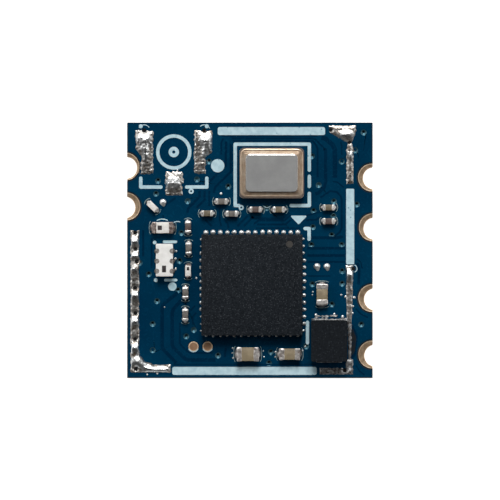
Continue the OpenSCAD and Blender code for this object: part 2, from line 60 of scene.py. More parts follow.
class Recipe:
    """Builds a node tree by short calls."""

    def __init__(self, tree: bpy.types.NodeTree) -> None:
        """Starts on an empty tree."""
        self.tree = tree

    def add(self, kind: str, settings: Optional[dict] = None, **values: object) -> bpy.types.Node:
        """Adds a node.

        Args:
            kind: The node's class name.
            settings: Attributes of the node itself.
            values: Socket values or the sockets that feed them; an underscore stands for a space.

        Returns:
            The new node.
        """
        node = self.tree.nodes.new(kind)
        for key, value in (settings or {}).items():
            setattr(node, key, value)
        for key, value in values.items():
            socket = node.inputs[int(key[1:])] if key[0] == "i" and key[1:].isdigit() else node.inputs[key.replace("_", " ")]
            if isinstance(value, bpy.types.NodeSocket):
                self.tree.links.new(value, socket)
            else:
                socket.default_value = value
        return node

    def maths(self, operation: str, first: object, second: object = 0.0, third: object = 0.0) -> bpy.types.NodeSocket:
        """A Math node's result."""
        return self.add("ShaderNodeMath", {"operation": operation}, i0=first, i1=second, i2=third).outputs[0]

    def blend(self, factor: object, first: object, second: object) -> bpy.types.NodeSocket:
        """A mix of two colours."""
        node = self.add("ShaderNodeMix", {"data_type": "RGBA"}, i0=factor, i6=first, i7=second)
        return node.outputs[2]


def rgba(colour: Colour) -> tuple[float, float, float, float]:
    """A colour with full opacity."""
    return (*colour, 1.0)


def new_group(name: str, inputs: dict, outputs: dict) -> tuple[bpy.types.NodeTree, Recipe, bpy.types.Node, bpy.types.Node]:
    """Starts a shader node group.

    Args:
        name: The group's name.
        inputs: Socket name to (socket type, default).
        outputs: Socket name to socket type.

    Returns:
        The tree, its recipe, and its input and output nodes.
    """
    tree = bpy.data.node_groups.new(name, "ShaderNodeTree")
    for title, (kind, default) in inputs.items():
        tree.interface.new_socket(title, in_out="INPUT", socket_type=kind).default_value = default
    for title, kind in outputs.items():
        tree.interface.new_socket(title, in_out="OUTPUT", socket_type=kind)
    recipe = Recipe(tree)
    return tree, recipe, recipe.add("NodeGroupInput"), recipe.add("NodeGroupOutput")


class Effects:
    """The shared effects, each a node group that is built once. Scales are in cells per millimetre."""

    def __init__(self) -> None:
        """Builds every group."""
        self.patches = self._patches()
        self.specks = self._specks()
        self.grain = self._grain()

    def _patches(self) -> bpy.types.NodeTree:
        """Soft uneven patches: a mask from 0 to 1 with its own size, sharpness and balance."""
        tree, recipe, given, out = new_group(
            "soft_patches",
            {"Vector": ("NodeSocketVector", (0, 0, 0)), "Scale": ("NodeSocketFloat", 1.0),
             "Sharpness": ("NodeSocketFloat", 2.0), "Balance": ("NodeSocketFloat", 0.5)},
            {"Mask": "NodeSocketFloat"})
        cloud = recipe.add("ShaderNodeTexNoise", None, Vector=given.outputs[0], Scale=given.outputs[1],
                           Detail=4.0, Roughness=0.55)
        centred = recipe.maths("SUBTRACT", cloud.outputs["Fac"], given.outputs[3])
        steep = recipe.maths("MULTIPLY", centred, given.outputs[2])
        recipe.tree.links.new(recipe.add("ShaderNodeMath", {"operation": "ADD", "use_clamp": True},
                                         i0=steep, i1=0.5).outputs[0], out.inputs[0])
        return tree

    def _specks(self) -> bpy.types.NodeTree:
        """Scattered round specks: a mask whose share says how much is covered."""
        tree, recipe, given, out = new_group(
            "scattered_specks",
            {"Vector": ("NodeSocketVector", (0, 0, 0)), "Scale": ("NodeSocketFloat", 10.0),
             "Share": ("NodeSocketFloat", 0.3)},
            {"Mask": "NodeSocketFloat"})
        cells = recipe.add("ShaderNodeTexVoronoi", None, Vector=given.outputs[0], Scale=given.outputs[1])
        chosen = recipe.add("ShaderNodeSeparateColor", None, Color=cells.outputs["Color"]).outputs[0]
        near = recipe.maths("SUBTRACT", 0.42, cells.outputs["Distance"])
        dot = recipe.add("ShaderNodeMath", {"operation": "MULTIPLY", "use_clamp": True}, i0=near, i1=6.0).outputs[0]
        picked = recipe.maths("LESS_THAN", chosen, given.outputs[2])
        recipe.tree.links.new(recipe.maths("MULTIPLY", dot, picked), out.inputs[0])
        return tree

    def _grain(self) -> bpy.types.NodeTree:
        """Fine grain on top of a slow swell: a height."""
        tree, recipe, given, out = new_group(
            "fine_grain",
            {"Vector": ("NodeSocketVector", (0, 0, 0)), "Fine": ("NodeSocketFloat", 20.0),
             "Coarse": ("NodeSocketFloat", 3.0), "Swell": ("NodeSocketFloat", 0.5)},
            {"Height": "NodeSocketFloat"})
        fine = recipe.add("ShaderNodeTexNoise", None, Vector=given.outputs[0], Scale=given.outputs[1], Detail=3.0)
        slow = recipe.add("ShaderNodeTexNoise", None, Vector=given.outputs[0], Scale=given.outputs[2], Detail=1.0)
        swell = recipe.maths("MULTIPLY", slow.outputs["Fac"], given.outputs[3])
        recipe.tree.links.new(recipe.maths("ADD", fine.outputs["Fac"], swell), out.inputs[0])
        return tree


@dataclass(frozen=True)
class Finish:
    """One material: two tones in soft patches, specks over them, a roughness range and a fine relief.

    Scales are in cells per millimetre and the relief is in millimetres.
    """

    slot: str
    base: Colour
    other: Colour
    patch_scale: float = 1.5
    patch_sharpness: float = 3.0
    patch_balance: float = 0.5
    speck: Colour = (0.5, 0.5, 0.5)
    speck_scale: float = 14.0
    speck_share: float = 0.0
    rough_low: float = 0.4
    rough_high: float = 0.6
    metallic: float = 0.0
    coat: float = 0.0
    coat_rough: float = 0.2
    specular: float = 0.5
    tint: Colour = (1.0, 1.0, 1.0)
    grain_fine: float = 22.0
    grain_coarse: float = 4.0
    swell: float = 0.5
    relief: float = 0.004

    def material(self, name: str, effects: Effects) -> bpy.types.Material:
        """Builds the material.

        Args:
            name: The material's name.
            effects: The shared node groups.

        Returns:
            The finished material.
        """
        made = bpy.data.materials.new(name)
        made.use_nodes = True
        made.diffuse_color = rgba(self.base)
        tree = made.node_tree
        tree.nodes.clear()
        recipe = Recipe(tree)
        place = recipe.add("ShaderNodeTexCoord").outputs["Object"]
        in_mm = recipe.add("ShaderNodeVectorMath", {"operation": "SCALE"}, Vector=place, Scale=1 / MM).outputs[0]
        patch = recipe.add("ShaderNodeGroup", {"node_tree": effects.patches}, Vector=in_mm, Scale=self.patch_scale,
                           Sharpness=self.patch_sharpness, Balance=self.patch_balance).outputs[0]
        colour = recipe.blend(patch, rgba(self.base), rgba(self.other))
        if self.speck_share > 0:
            specks = recipe.add("ShaderNodeGroup", {"node_tree": effects.specks}, Vector=in_mm,
                                Scale=self.speck_scale, Share=self.speck_share).outputs[0]
            colour = recipe.blend(specks, colour, rgba(self.speck))
        grain = recipe.add("ShaderNodeGroup", {"node_tree": effects.grain}, Vector=in_mm, Fine=self.grain_fine,
                           Coarse=self.grain_coarse, Swell=self.swell).outputs[0]
        rough = recipe.add("ShaderNodeMapRange", None, Value=grain, From_Min=0.3, From_Max=0.7 + self.swell / 2,
                           To_Min=self.rough_low, To_Max=self.rough_high).outputs[0]
        bump = recipe.add("ShaderNodeBump", None, Strength=1.0, Distance=self.relief * MM, Height=grain).outputs[0]
        shader = recipe.add("ShaderNodeBsdfPrincipled", None, Base_Color=colour, Roughness=rough,
                            Metallic=self.metallic, Normal=bump)
        shader.inputs["Coat Weight"].default_value = self.coat
        shader.inputs["Coat Roughness"].default_value = self.coat_rough
        shader.inputs["Specular IOR Level"].default_value = self.specular
        shader.inputs["Specular Tint"].default_value = rgba(self.tint)
        recipe.add("ShaderNodeOutputMaterial", None, Surface=shader.outputs[0])
        return made


class Look(Enum):
    """The finishes that pieces choose from."""

    MASK = Finish("solder_mask", (0.0002, 0.027, 0.066), (0.0003, 0.037, 0.084), patch_scale=0.5,
                  rough_low=0.22, rough_high=0.28, specular=0.2, relief=0.0003, grain_fine=8, tint=(0.1, 0.6, 1))
    MASK_IN_GAP = Finish("solder_mask", (0.0001, 0.0165, 0.044), (0.0002, 0.022, 0.056), patch_scale=1.0,
                         rough_low=0.22, rough_high=0.28, specular=0.2, relief=0.0003, grain_fine=8,
                         tint=(0.1, 0.6, 1))
    VIA_CUP = Finish("solder_mask", (0.045, 0.12, 0.155), (0.02, 0.075, 0.105), patch_scale=3, metallic=0.6,
                     rough_low=0.34, rough_high=0.42, relief=0.002, specular=0.3)
    LAMINATE = Finish("solder_mask", (0.006, 0.012, 0.02), (0.014, 0.022, 0.03), patch_scale=4, rough_low=0.6,
                      rough_high=0.85, relief=0.01, specular=0.3)
    # Near-black for the insides of via holes: painted shade in the dimple pits and on the discs over the open vias.
    PIT = Finish("solder_mask", (0.003, 0.004, 0.006), (0.008, 0.007, 0.006), patch_scale=8, rough_low=0.7,
                 rough_high=0.9, specular=0.2)
    COPPER = Finish("bare_copper", (0.42, 0.3, 0.19), (0.26, 0.175, 0.105), patch_scale=6, metallic=0.45,
                    rough_low=0.35, rough_high=0.55, relief=0.012, patch_sharpness=4)
    # Paler, lit copy of the copper: a painted highlight on the raised rims of the gold rings and the test pads.
    COPPER_RIM = Finish("bare_copper", (0.8, 0.62, 0.44), (0.62, 0.44, 0.28), patch_scale=4, metallic=0.35,
                        rough_low=0.3, rough_high=0.5, relief=0.008)
    TEST_COPPER = Finish("bare_copper", (0.38, 0.22, 0.12), (0.28, 0.16, 0.09), patch_scale=4, metallic=0.35,
                         rough_low=0.35, rough_high=0.5, relief=0.006)
    INK = Finish("ink", (0.55, 0.74, 0.8), (0.37, 0.56, 0.64), patch_scale=4.0, patch_sharpness=2.8,
                 patch_balance=0.58, rough_low=0.55, rough_high=0.8, grain_fine=16, relief=0.006,
                 speck=(0.2, 0.4, 0.5), speck_scale=9, speck_share=0.03)
    PAD_EDGE = Finish("land_solder", (0.36, 0.48, 0.48), (0.1, 0.18, 0.2), patch_scale=7, patch_balance=0.55,
                      rough_low=0.35, rough_high=0.6, metallic=0.3)
    LAND_SOLDER = Finish("land_solder", (0.8, 0.815, 0.81), (0.5, 0.5, 0.49), patch_scale=4, patch_balance=0.58,
                         metallic=1.0, rough_low=0.2, rough_high=0.36, grain_fine=8, grain_coarse=3, relief=0.003)
    ROUGH_SOLDER = Finish("land_solder", (0.66, 0.65, 0.62), (0.24, 0.195, 0.16), patch_scale=6,
                          patch_sharpness=4.0, patch_balance=0.52, metallic=0.95, rough_low=0.2, rough_high=0.42,
                          grain_fine=8, grain_coarse=3, relief=0.007, speck=(0.1, 0.085, 0.07), speck_scale=9,
                          speck_share=0.14)
    DULL_SOLDER = Finish("land_solder", (0.46, 0.47, 0.47), (0.12, 0.105, 0.1), patch_scale=7, patch_sharpness=4,
                         metallic=0.9, rough_low=0.35, rough_high=0.55, grain_fine=9, relief=0.006)
    # Near-black colour for the inner layer of the dark patch beside the inductor.
    DRIED_FLUX = Finish("solder_mask", (0.003, 0.013, 0.025), (0.012, 0.013, 0.014), patch_scale=4,
                        rough_low=0.3, rough_high=0.45, specular=0.2, relief=0.002)
    TIN = Finish("lead_tin", (0.88, 0.89, 0.88), (0.55, 0.55, 0.53), patch_scale=5, patch_balance=0.6,
                 metallic=0.85, rough_low=0.24, rough_high=0.44, relief=0.004)
    PACKAGE = Finish("package_black", (0.003, 0.0055, 0.0085), (0.014, 0.018, 0.023), patch_scale=13,
                     patch_sharpness=3.5, speck=(0.045, 0.05, 0.058), speck_scale=15, speck_share=0.4,
                     rough_low=0.5, rough_high=0.72, grain_fine=16, relief=0.016, specular=0.14)
    PACKAGE_MARK = Finish("package_black", (0.055, 0.05, 0.044), (0.03, 0.028, 0.026), patch_scale=8,
                          rough_low=0.4, rough_high=0.6)
    CERAMIC_BASE = Finish("crystal_ceramic", (0.17, 0.13, 0.105), (0.1, 0.085, 0.075), patch_scale=4,
                          rough_low=0.5, rough_high=0.75)
    SEAL_GOLD = Finish("seal_gold", (0.82, 0.66, 0.5), (0.66, 0.46, 0.31), patch_scale=3, metallic=0.88,
                       rough_low=0.26, rough_high=0.4, relief=0.005)
    LID = Finish("lid_nickel", (0.325, 0.325, 0.32), (0.27, 0.27, 0.268), patch_scale=1.2, metallic=0.35,
                 rough_low=0.5, rough_high=0.66, grain_fine=26, relief=0.005)
    # Paler, shinier copy of the lid metal on its sides and bevel: a painted highlight along the lid's top edge.
    LID_RIM = Finish("lid_nickel", (0.6, 0.6, 0.59), (0.5, 0.5, 0.49), patch_scale=3, metallic=0.95,
                     rough_low=0.14, rough_high=0.24, relief=0.002)
    QUARTZ = Finish("quartz", (0.6, 0.66, 0.7), (0.5, 0.56, 0.6), rough_low=0.1, rough_high=0.2)
    CORE = Finish("core_black", (0.0025, 0.0045, 0.007), (0.009, 0.012, 0.016), patch_scale=10,
                  speck=(0.02, 0.025, 0.03), speck_scale=11, speck_share=0.3, rough_low=0.5,
                  rough_high=0.75, grain_fine=12, relief=0.014, specular=0.14)
    FILTER_CERAMIC = Finish("filter_ceramic", (0.95, 0.93, 0.9), (0.85, 0.83, 0.79), patch_scale=4,
                            rough_low=0.4, rough_high=0.6, coat=0.2)
    FILTER_METAL = Finish("filter_metal", (0.4, 0.37, 0.34), (0.1, 0.085, 0.08), patch_scale=8, metallic=0.45,
                          patch_sharpness=4, rough_low=0.35, rough_high=0.6, relief=0.015)
    CHIP_MARK = Finish("filter_ceramic", (0.018, 0.012, 0.014), (0.04, 0.028, 0.028), patch_scale=10,
                       rough_low=0.5, rough_high=0.7)
    CHIP_WHITE = Finish("chip_white", (0.93, 0.9, 0.86), (0.78, 0.74, 0.68), patch_scale=5, rough_low=0.4,
                        rough_high=0.6, coat=0.2)
    CHIP_TAN = Finish("chip_tan", (0.31, 0.25, 0.155), (0.23, 0.18, 0.11), patch_scale=4, rough_low=0.4,
                      rough_high=0.62, coat=0.15)
    CHIP_OLIVE = Finish("chip_tan", (0.21, 0.17, 0.11), (0.13, 0.105, 0.07), patch_scale=6, rough_low=0.4,
                        rough_high=0.62)
    CHIP_GREY = Finish("chip_grey", (0.19, 0.17, 0.15), (0.11, 0.1, 0.09), patch_scale=6, rough_low=0.4,
                       rough_high=0.62)
    CHIP_BROWN = Finish("chip_brown", (0.14, 0.095, 0.08), (0.085, 0.06, 0.055), patch_scale=6, rough_low=0.4,
                        rough_high=0.62)
    CHIP_TIN = Finish("chip_tin", (0.88, 0.86, 0.82), (0.36, 0.29, 0.24), patch_scale=7, patch_sharpness=4,
                      patch_balance=0.6, metallic=0.62, rough_low=0.2, rough_high=0.4, grain_fine=10,
                      relief=0.014)
    WIDE_TIN = Finish("chip_tin", (0.76, 0.73, 0.7), (0.3, 0.24, 0.21), patch_scale=5, patch_sharpness=3,
                      patch_balance=0.55, metallic=0.62, rough_low=0.22, rough_high=0.38, grain_fine=8, relief=0.007)
    # Darker copy of the tin for the lower part of each chip's solder: painted shade round the foot of the fillets.
    FOOT_TIN = Finish("chip_tin", (0.5, 0.48, 0.45), (0.07, 0.06, 0.055), patch_scale=6, patch_sharpness=5,
                      patch_balance=0.46, metallic=0.75, rough_low=0.22, rough_high=0.4, grain_fine=9, relief=0.012)
    COIL_TIN = Finish("chip_tin", (0.5, 0.43, 0.39), (0.16, 0.11, 0.095), patch_scale=7, patch_sharpness=4,
                      metallic=0.6, rough_low=0.22, rough_high=0.42, grain_fine=10, relief=0.014)


class Wardrobe:
    """Builds each finish's material the first time that it is asked for."""

    def __init__(self) -> None:
        """Starts with the shared effects and no materials."""
        self.effects = Effects()
        self.made: dict[Look, bpy.types.Material] = {}

    def get(self, look: Look) -> bpy.types.Material:
        """The material of a finish."""
        if look not in self.made:
            self.made[look] = look.value.material(look.name.lower(), self.effects)
        return self.made[look]

    def dress(self, node: str, look: Look) -> None:
        """Gives a CAD node its material."""
        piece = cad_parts[node]
        if not piece.material_slots:
            piece.data.materials.append(None)
        for place in piece.material_slots:
            place.material = self.get(look)
        LOG.info("%s: CAD node dressed as %s", node, look.name.lower())


# ---- Shapes ----

def pose(at: Sequence[float], size: Sequence[float] = (1, 1, 1), turn: float = 0.0) -> Matrix:
    """A place, a size along each axis and a turn about Z in degrees, as a matrix."""
    return Matrix.Translation(at) @ Matrix.Rotation(math.radians(turn), 4, "Z") @ Matrix.Diagonal((*size, 1.0))


@dataclass(frozen=True)
class Span:
    """The box of a CAD node, in millimetres."""

    low: Vector
    high: Vector

    @classmethod
    def of(cls, node: str) -> "Span":
        """The box of one node."""
        low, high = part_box(node)
        return cls(Vector(low) / MM, Vector(high) / MM)

    @property
    def mid(self) -> Vector:
        """The box's middle."""
        return (self.low + self.high) / 2

    @property
    def size(self) -> Vector:
        """The box's size along each axis."""
        return self.high - self.low


def circle(middle: Point, radius: float, height: float, sides: int = 64) -> list[Vector]:
    """The points of a level circle."""
    turns = [2 * math.pi * i / sides for i in range(sides)]
    return [Vector((middle[0] + radius * math.cos(a), middle[1] + radius * math.sin(a), height)) for a in turns]


def rounded(span: Span, inset: float, corner: float, height: float) -> list[Vector]:
    """The points of a level rectangle with round corners, drawn in from a box."""
    radius = max(0.02, corner - inset)
    reach = Vector((span.size.x / 2 - inset - radius, span.size.y / 2 - inset - radius))
    points = []
    for quarter, (x, y) in enumerate(((1, 1), (-1, 1), (-1, -1), (1, -1))):
        for step in range(7):
            a = math.radians(90 * quarter + 15 * step)
            points.append(Vector((span.mid.x + x * reach.x + radius * math.cos(a),
                                  span.mid.y + y * reach.y + radius * math.sin(a), height)))
    return points


class Shape:
    """A mesh in the making, in millimetres on the board's own axes."""

    def __init__(self) -> None:
        """Starts empty."""
        self.bm = bmesh.new()

    def soften(self, edges: Iterable[bmesh.types.BMEdge], radius: float, rounds: int = 2) -> None:
        """Rounds edges."""
        bmesh.ops.bevel(self.bm, geom=list(edges), offset=radius, affect="EDGES", segments=rounds, profile=0.5,
                        material=-1, clamp_overlap=True)

    def block(self, low: Sequence[float], high: Sequence[float], edge: float = 0.0, rounds: int = 2,
              slot: int = 0, corner: float = 0.0, turn: float = 0.0) -> "Shape":
        """Adds a block between two corners.

        Args:
            low: Lowest corner.
            high: Highest corner.
            edge: Radius of all its edges, or of the top and bottom rims where it has round corners.
            rounds: Segments of each rounded edge.
            slot: Material slot of its faces.
            corner: Radius of its upright edges.
            turn: Turn about its own upright middle line, in degrees.

        Returns:
            This shape.
        """
        low, high = Vector(low), Vector(high)
        made = bmesh.ops.create_cube(self.bm, size=1.0, matrix=pose((low + high) / 2, high - low, turn))["verts"]
        faces = {f for v in made for f in v.link_faces}
        for f in faces:
            f.material_index = slot
        edges = {e for v in made for e in v.link_edges}
        if corner > 0:
            upright = [e for e in edges if abs(e.verts[0].co.z - e.verts[1].co.z) > 1e-6]
            lids = [f for f in faces if abs(f.normal.z) > 0.9]
            self.soften(upright, corner, 6)
            if edge > 0:
                self.soften({e for f in lids if f.is_valid for e in f.edges}, edge, rounds)
        elif edge > 0:
            self.soften(edges, edge, rounds)
        return self

    def prism(self, outline: Sequence[Point], bottom: float, top: float, slot: int = 0, edge: float = 0.0) -> "Shape":
        """Adds an upright prism over an outline.

        Args:
            outline: The corners in order.
            bottom: Height of its lower face.
            top: Height of its upper face.
            slot: Material slot of its faces.
            edge: Radius of the upper rim.

        Returns:
            This shape.
        """
        foot = self.bm.faces.new([self.bm.verts.new((x, y, bottom)) for x, y in outline])
        made = bmesh.ops.extrude_face_region(self.bm, geom=[foot], use_keep_orig=True)["geom"]
        lifted = [g for g in made if isinstance(g, bmesh.types.BMVert)]
        bmesh.ops.translate(self.bm, vec=(0, 0, top - bottom), verts=lifted)
        for f in {f for v in lifted for f in v.link_faces} | {foot}:
            f.material_index = slot
        if edge > 0:
            self.soften({e for e in {e for v in lifted for e in v.link_edges}
                         if all(abs(v.co.z - top) < 1e-6 for v in e.verts)}, edge)
        return self

    def ribbon(self, points: Sequence[Point], width: float, bottom: float, top: float, slot: int = 0,
               edge: float = 0.0) -> "Shape":
        """Adds a flat strip of one width along a line of points."""
        left, right = [], []
        line = [Vector(p) for p in points]
        for i, at in enumerate(line):
            ahead = (line[min(i + 1, len(line) - 1)] - at).normalized() if i < len(line) - 1 else None
            behind = (at - line[i - 1]).normalized() if i else None
            way = ((ahead or behind) + (behind or ahead)).normalized()
            side = Vector((-way.y, way.x))
            reach = width / 2 / max(0.5, way.dot(ahead or behind))
            left.append(tuple(at + side * reach))
            right.append(tuple(at - side * reach))
        return self.prism(left + right[::-1], bottom, top, slot, edge)

    def disc(self, at: Point, radius: float, bottom: float, top: float, slot: int = 0, edge: float = 0.0,
             sides: int = 32, rim: Optional[float] = None) -> "Shape":
        """Adds an upright cylinder, or a cone where the upper rim has a radius of its own."""
        made = bmesh.ops.create_cone(self.bm, cap_ends=True, segments=sides, radius1=radius,
                                     radius2=radius if rim is None else rim, depth=top - bottom,
                                     matrix=pose((at[0], at[1], (bottom + top) / 2)))["verts"]
        for f in {f for v in made for f in v.link_faces}:
            f.material_index = slot
        if edge > 0:
            self.soften({e for v in made for e in v.link_edges
                         if all(w in made and abs(w.co.z - top) < 1e-6 for w in e.verts)}, edge)
        return self

    def lump(self, at: Sequence[float], size: Sequence[float], slot: int = 0, turn: float = 0.0,
             fineness: int = 2) -> "Shape":
        """Adds a ball stretched to three radii."""
        made = bmesh.ops.create_icosphere(self.bm, subdivisions=fineness, radius=1.0, matrix=pose(at, size, turn))
        for f in {f for v in made["verts"] for f in v.link_faces}:
            f.material_index = slot
        return self

    def skin(self, loops: Sequence[Sequence[Vector]], slots: Sequence[int] = (0,), ring: bool = False) -> "Shape":
        """Adds a closed skin through loops of equally many points.

        Args:
            loops: The loops in order.
            slots: Material slot of each band between two loops; the last one goes on to the end.
            ring: Whether the last loop joins the first one. Otherwise both are covered.

        Returns:
            This shape.
        """
        rows = [[self.bm.verts.new(point) for point in loop] for loop in loops]
        if ring:
            rows.append(rows[0])
        for i in range(1, len(rows)):
            near, far = rows[i - 1], rows[i]
            for j in range(len(near)):
                k = (j + 1) % len(near)
                face = self.bm.faces.new((near[j], near[k], far[k], far[j]))
                face.material_index = slots[min(i, len(slots)) - 1]
        if not ring:
            self.bm.faces.new(rows[0][::-1]).material_index = slots[0]
            self.bm.faces.new(rows[-1]).material_index = slots[-1]
        return self

    def reflow(self, voxel: float, rounds: int = 3, ripple: float = 0.0, scale: float = 5.0) -> "Shape":
        """Melts overlapping forms into one skin and lets it settle.

        Args:
            voxel: Size of the skin's cells.
            rounds: Passes of smoothing.
            ripple: Height of an uneven ripple.
            scale: Ripples in a millimetre.

        Returns:
            This shape.
        """
        mesh = bpy.data.meshes.new("melt")
        self.bm.to_mesh(mesh)
        holder = bpy.data.objects.new("melt", mesh)
        bpy.context.scene.collection.objects.link(holder)
        melt = holder.modifiers.new("melt", "REMESH")
        melt.mode = "VOXEL"
        melt.voxel_size = voxel
        solid = holder.evaluated_get(bpy.context.evaluated_depsgraph_get())
        self.bm.clear()
        self.bm.from_mesh(solid.to_mesh())
        solid.to_mesh_clear()
        bpy.data.objects.remove(holder)
        bpy.data.meshes.remove(mesh)
        for _ in range(rounds):
            bmesh.ops.smooth_vert(self.bm, verts=self.bm.verts, factor=0.5, use_axis_x=True, use_axis_y=True,
                                  use_axis_z=True)
        if ripple > 0:
            self.bm.normal_update()
            for v in self.bm.verts:
                v.co += v.normal * ripple * noise.noise(v.co * scale)
        return self

    def carve(self, cutters: "Shape") -> "Shape":
        """Takes another shape away from this one."""
        holders = []
        for part in (self, cutters):
            bmesh.ops.recalc_face_normals(part.bm, faces=part.bm.faces)
            mesh = bpy.data.meshes.new("carve")
            part.bm.to_mesh(mesh)
            for _ in range(4):
                mesh.materials.append(None)
            holder = bpy.data.objects.new("carve", mesh)
            bpy.context.scene.collection.objects.link(holder)
            holders.append(holder)
        knife = holders[0].modifiers.new("carve", "BOOLEAN")
        knife.operation = "DIFFERENCE"
        knife.solver = "EXACT"
        knife.use_self = True
        knife.object = holders[1]
        solid = holders[0].evaluated_get(bpy.context.evaluated_depsgraph_get())
        self.bm.clear()
        self.bm.from_mesh(solid.to_mesh())
        solid.to_mesh_clear()
        for holder in holders:
            mesh = holder.data
            bpy.data.objects.remove(holder)
            bpy.data.meshes.remove(mesh)
        return self

    def piece(self, name: str, wardrobe: Wardrobe, looks: Sequence[Look], replaces: Sequence[str] = (),
              sharp: float = 38.0) -> bpy.types.Object:
        """Turns the shape into a finished piece of the object.

        Args:
            name: The piece's name.
            wardrobe: Where the materials come from.
            looks: One finish for each material slot.
            replaces: CAD nodes that the piece stands for.
            sharp: Angle in degrees past which an edge stays crisp.

        Returns:
            The new object.
        """
        bmesh.ops.recalc_face_normals(self.bm, faces=self.bm.faces)
        bmesh.ops.scale(self.bm, vec=(MM, MM, MM), verts=self.bm.verts)
        for f in self.bm.faces:
            f.smooth = True
        for e in self.bm.edges:
            e.smooth = e.calc_face_angle(0.0) < math.radians(sharp)
        mesh = bpy.data.meshes.new(name)
        self.bm.to_mesh(mesh)
        self.bm.free()
        for look in looks:
            mesh.materials.append(wardrobe.get(look))
        made = bpy.data.objects.new(name, mesh)
        bpy.context.scene.collection.objects.link(made)
        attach(made, "root")
        if replaces:
            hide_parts(*replaces)
        LOG.info("%s: %d faces", name, len(mesh.polygons))
        return made


# ---- Board ----

@dataclass(frozen=True)
class EdgePad:
    """A half hole in the board's edge with its gold ring."""

    land: Point
    hole: Point
    land_r: float = 0.69
    hole_r: float = 0.53
    plating: float = 0.03


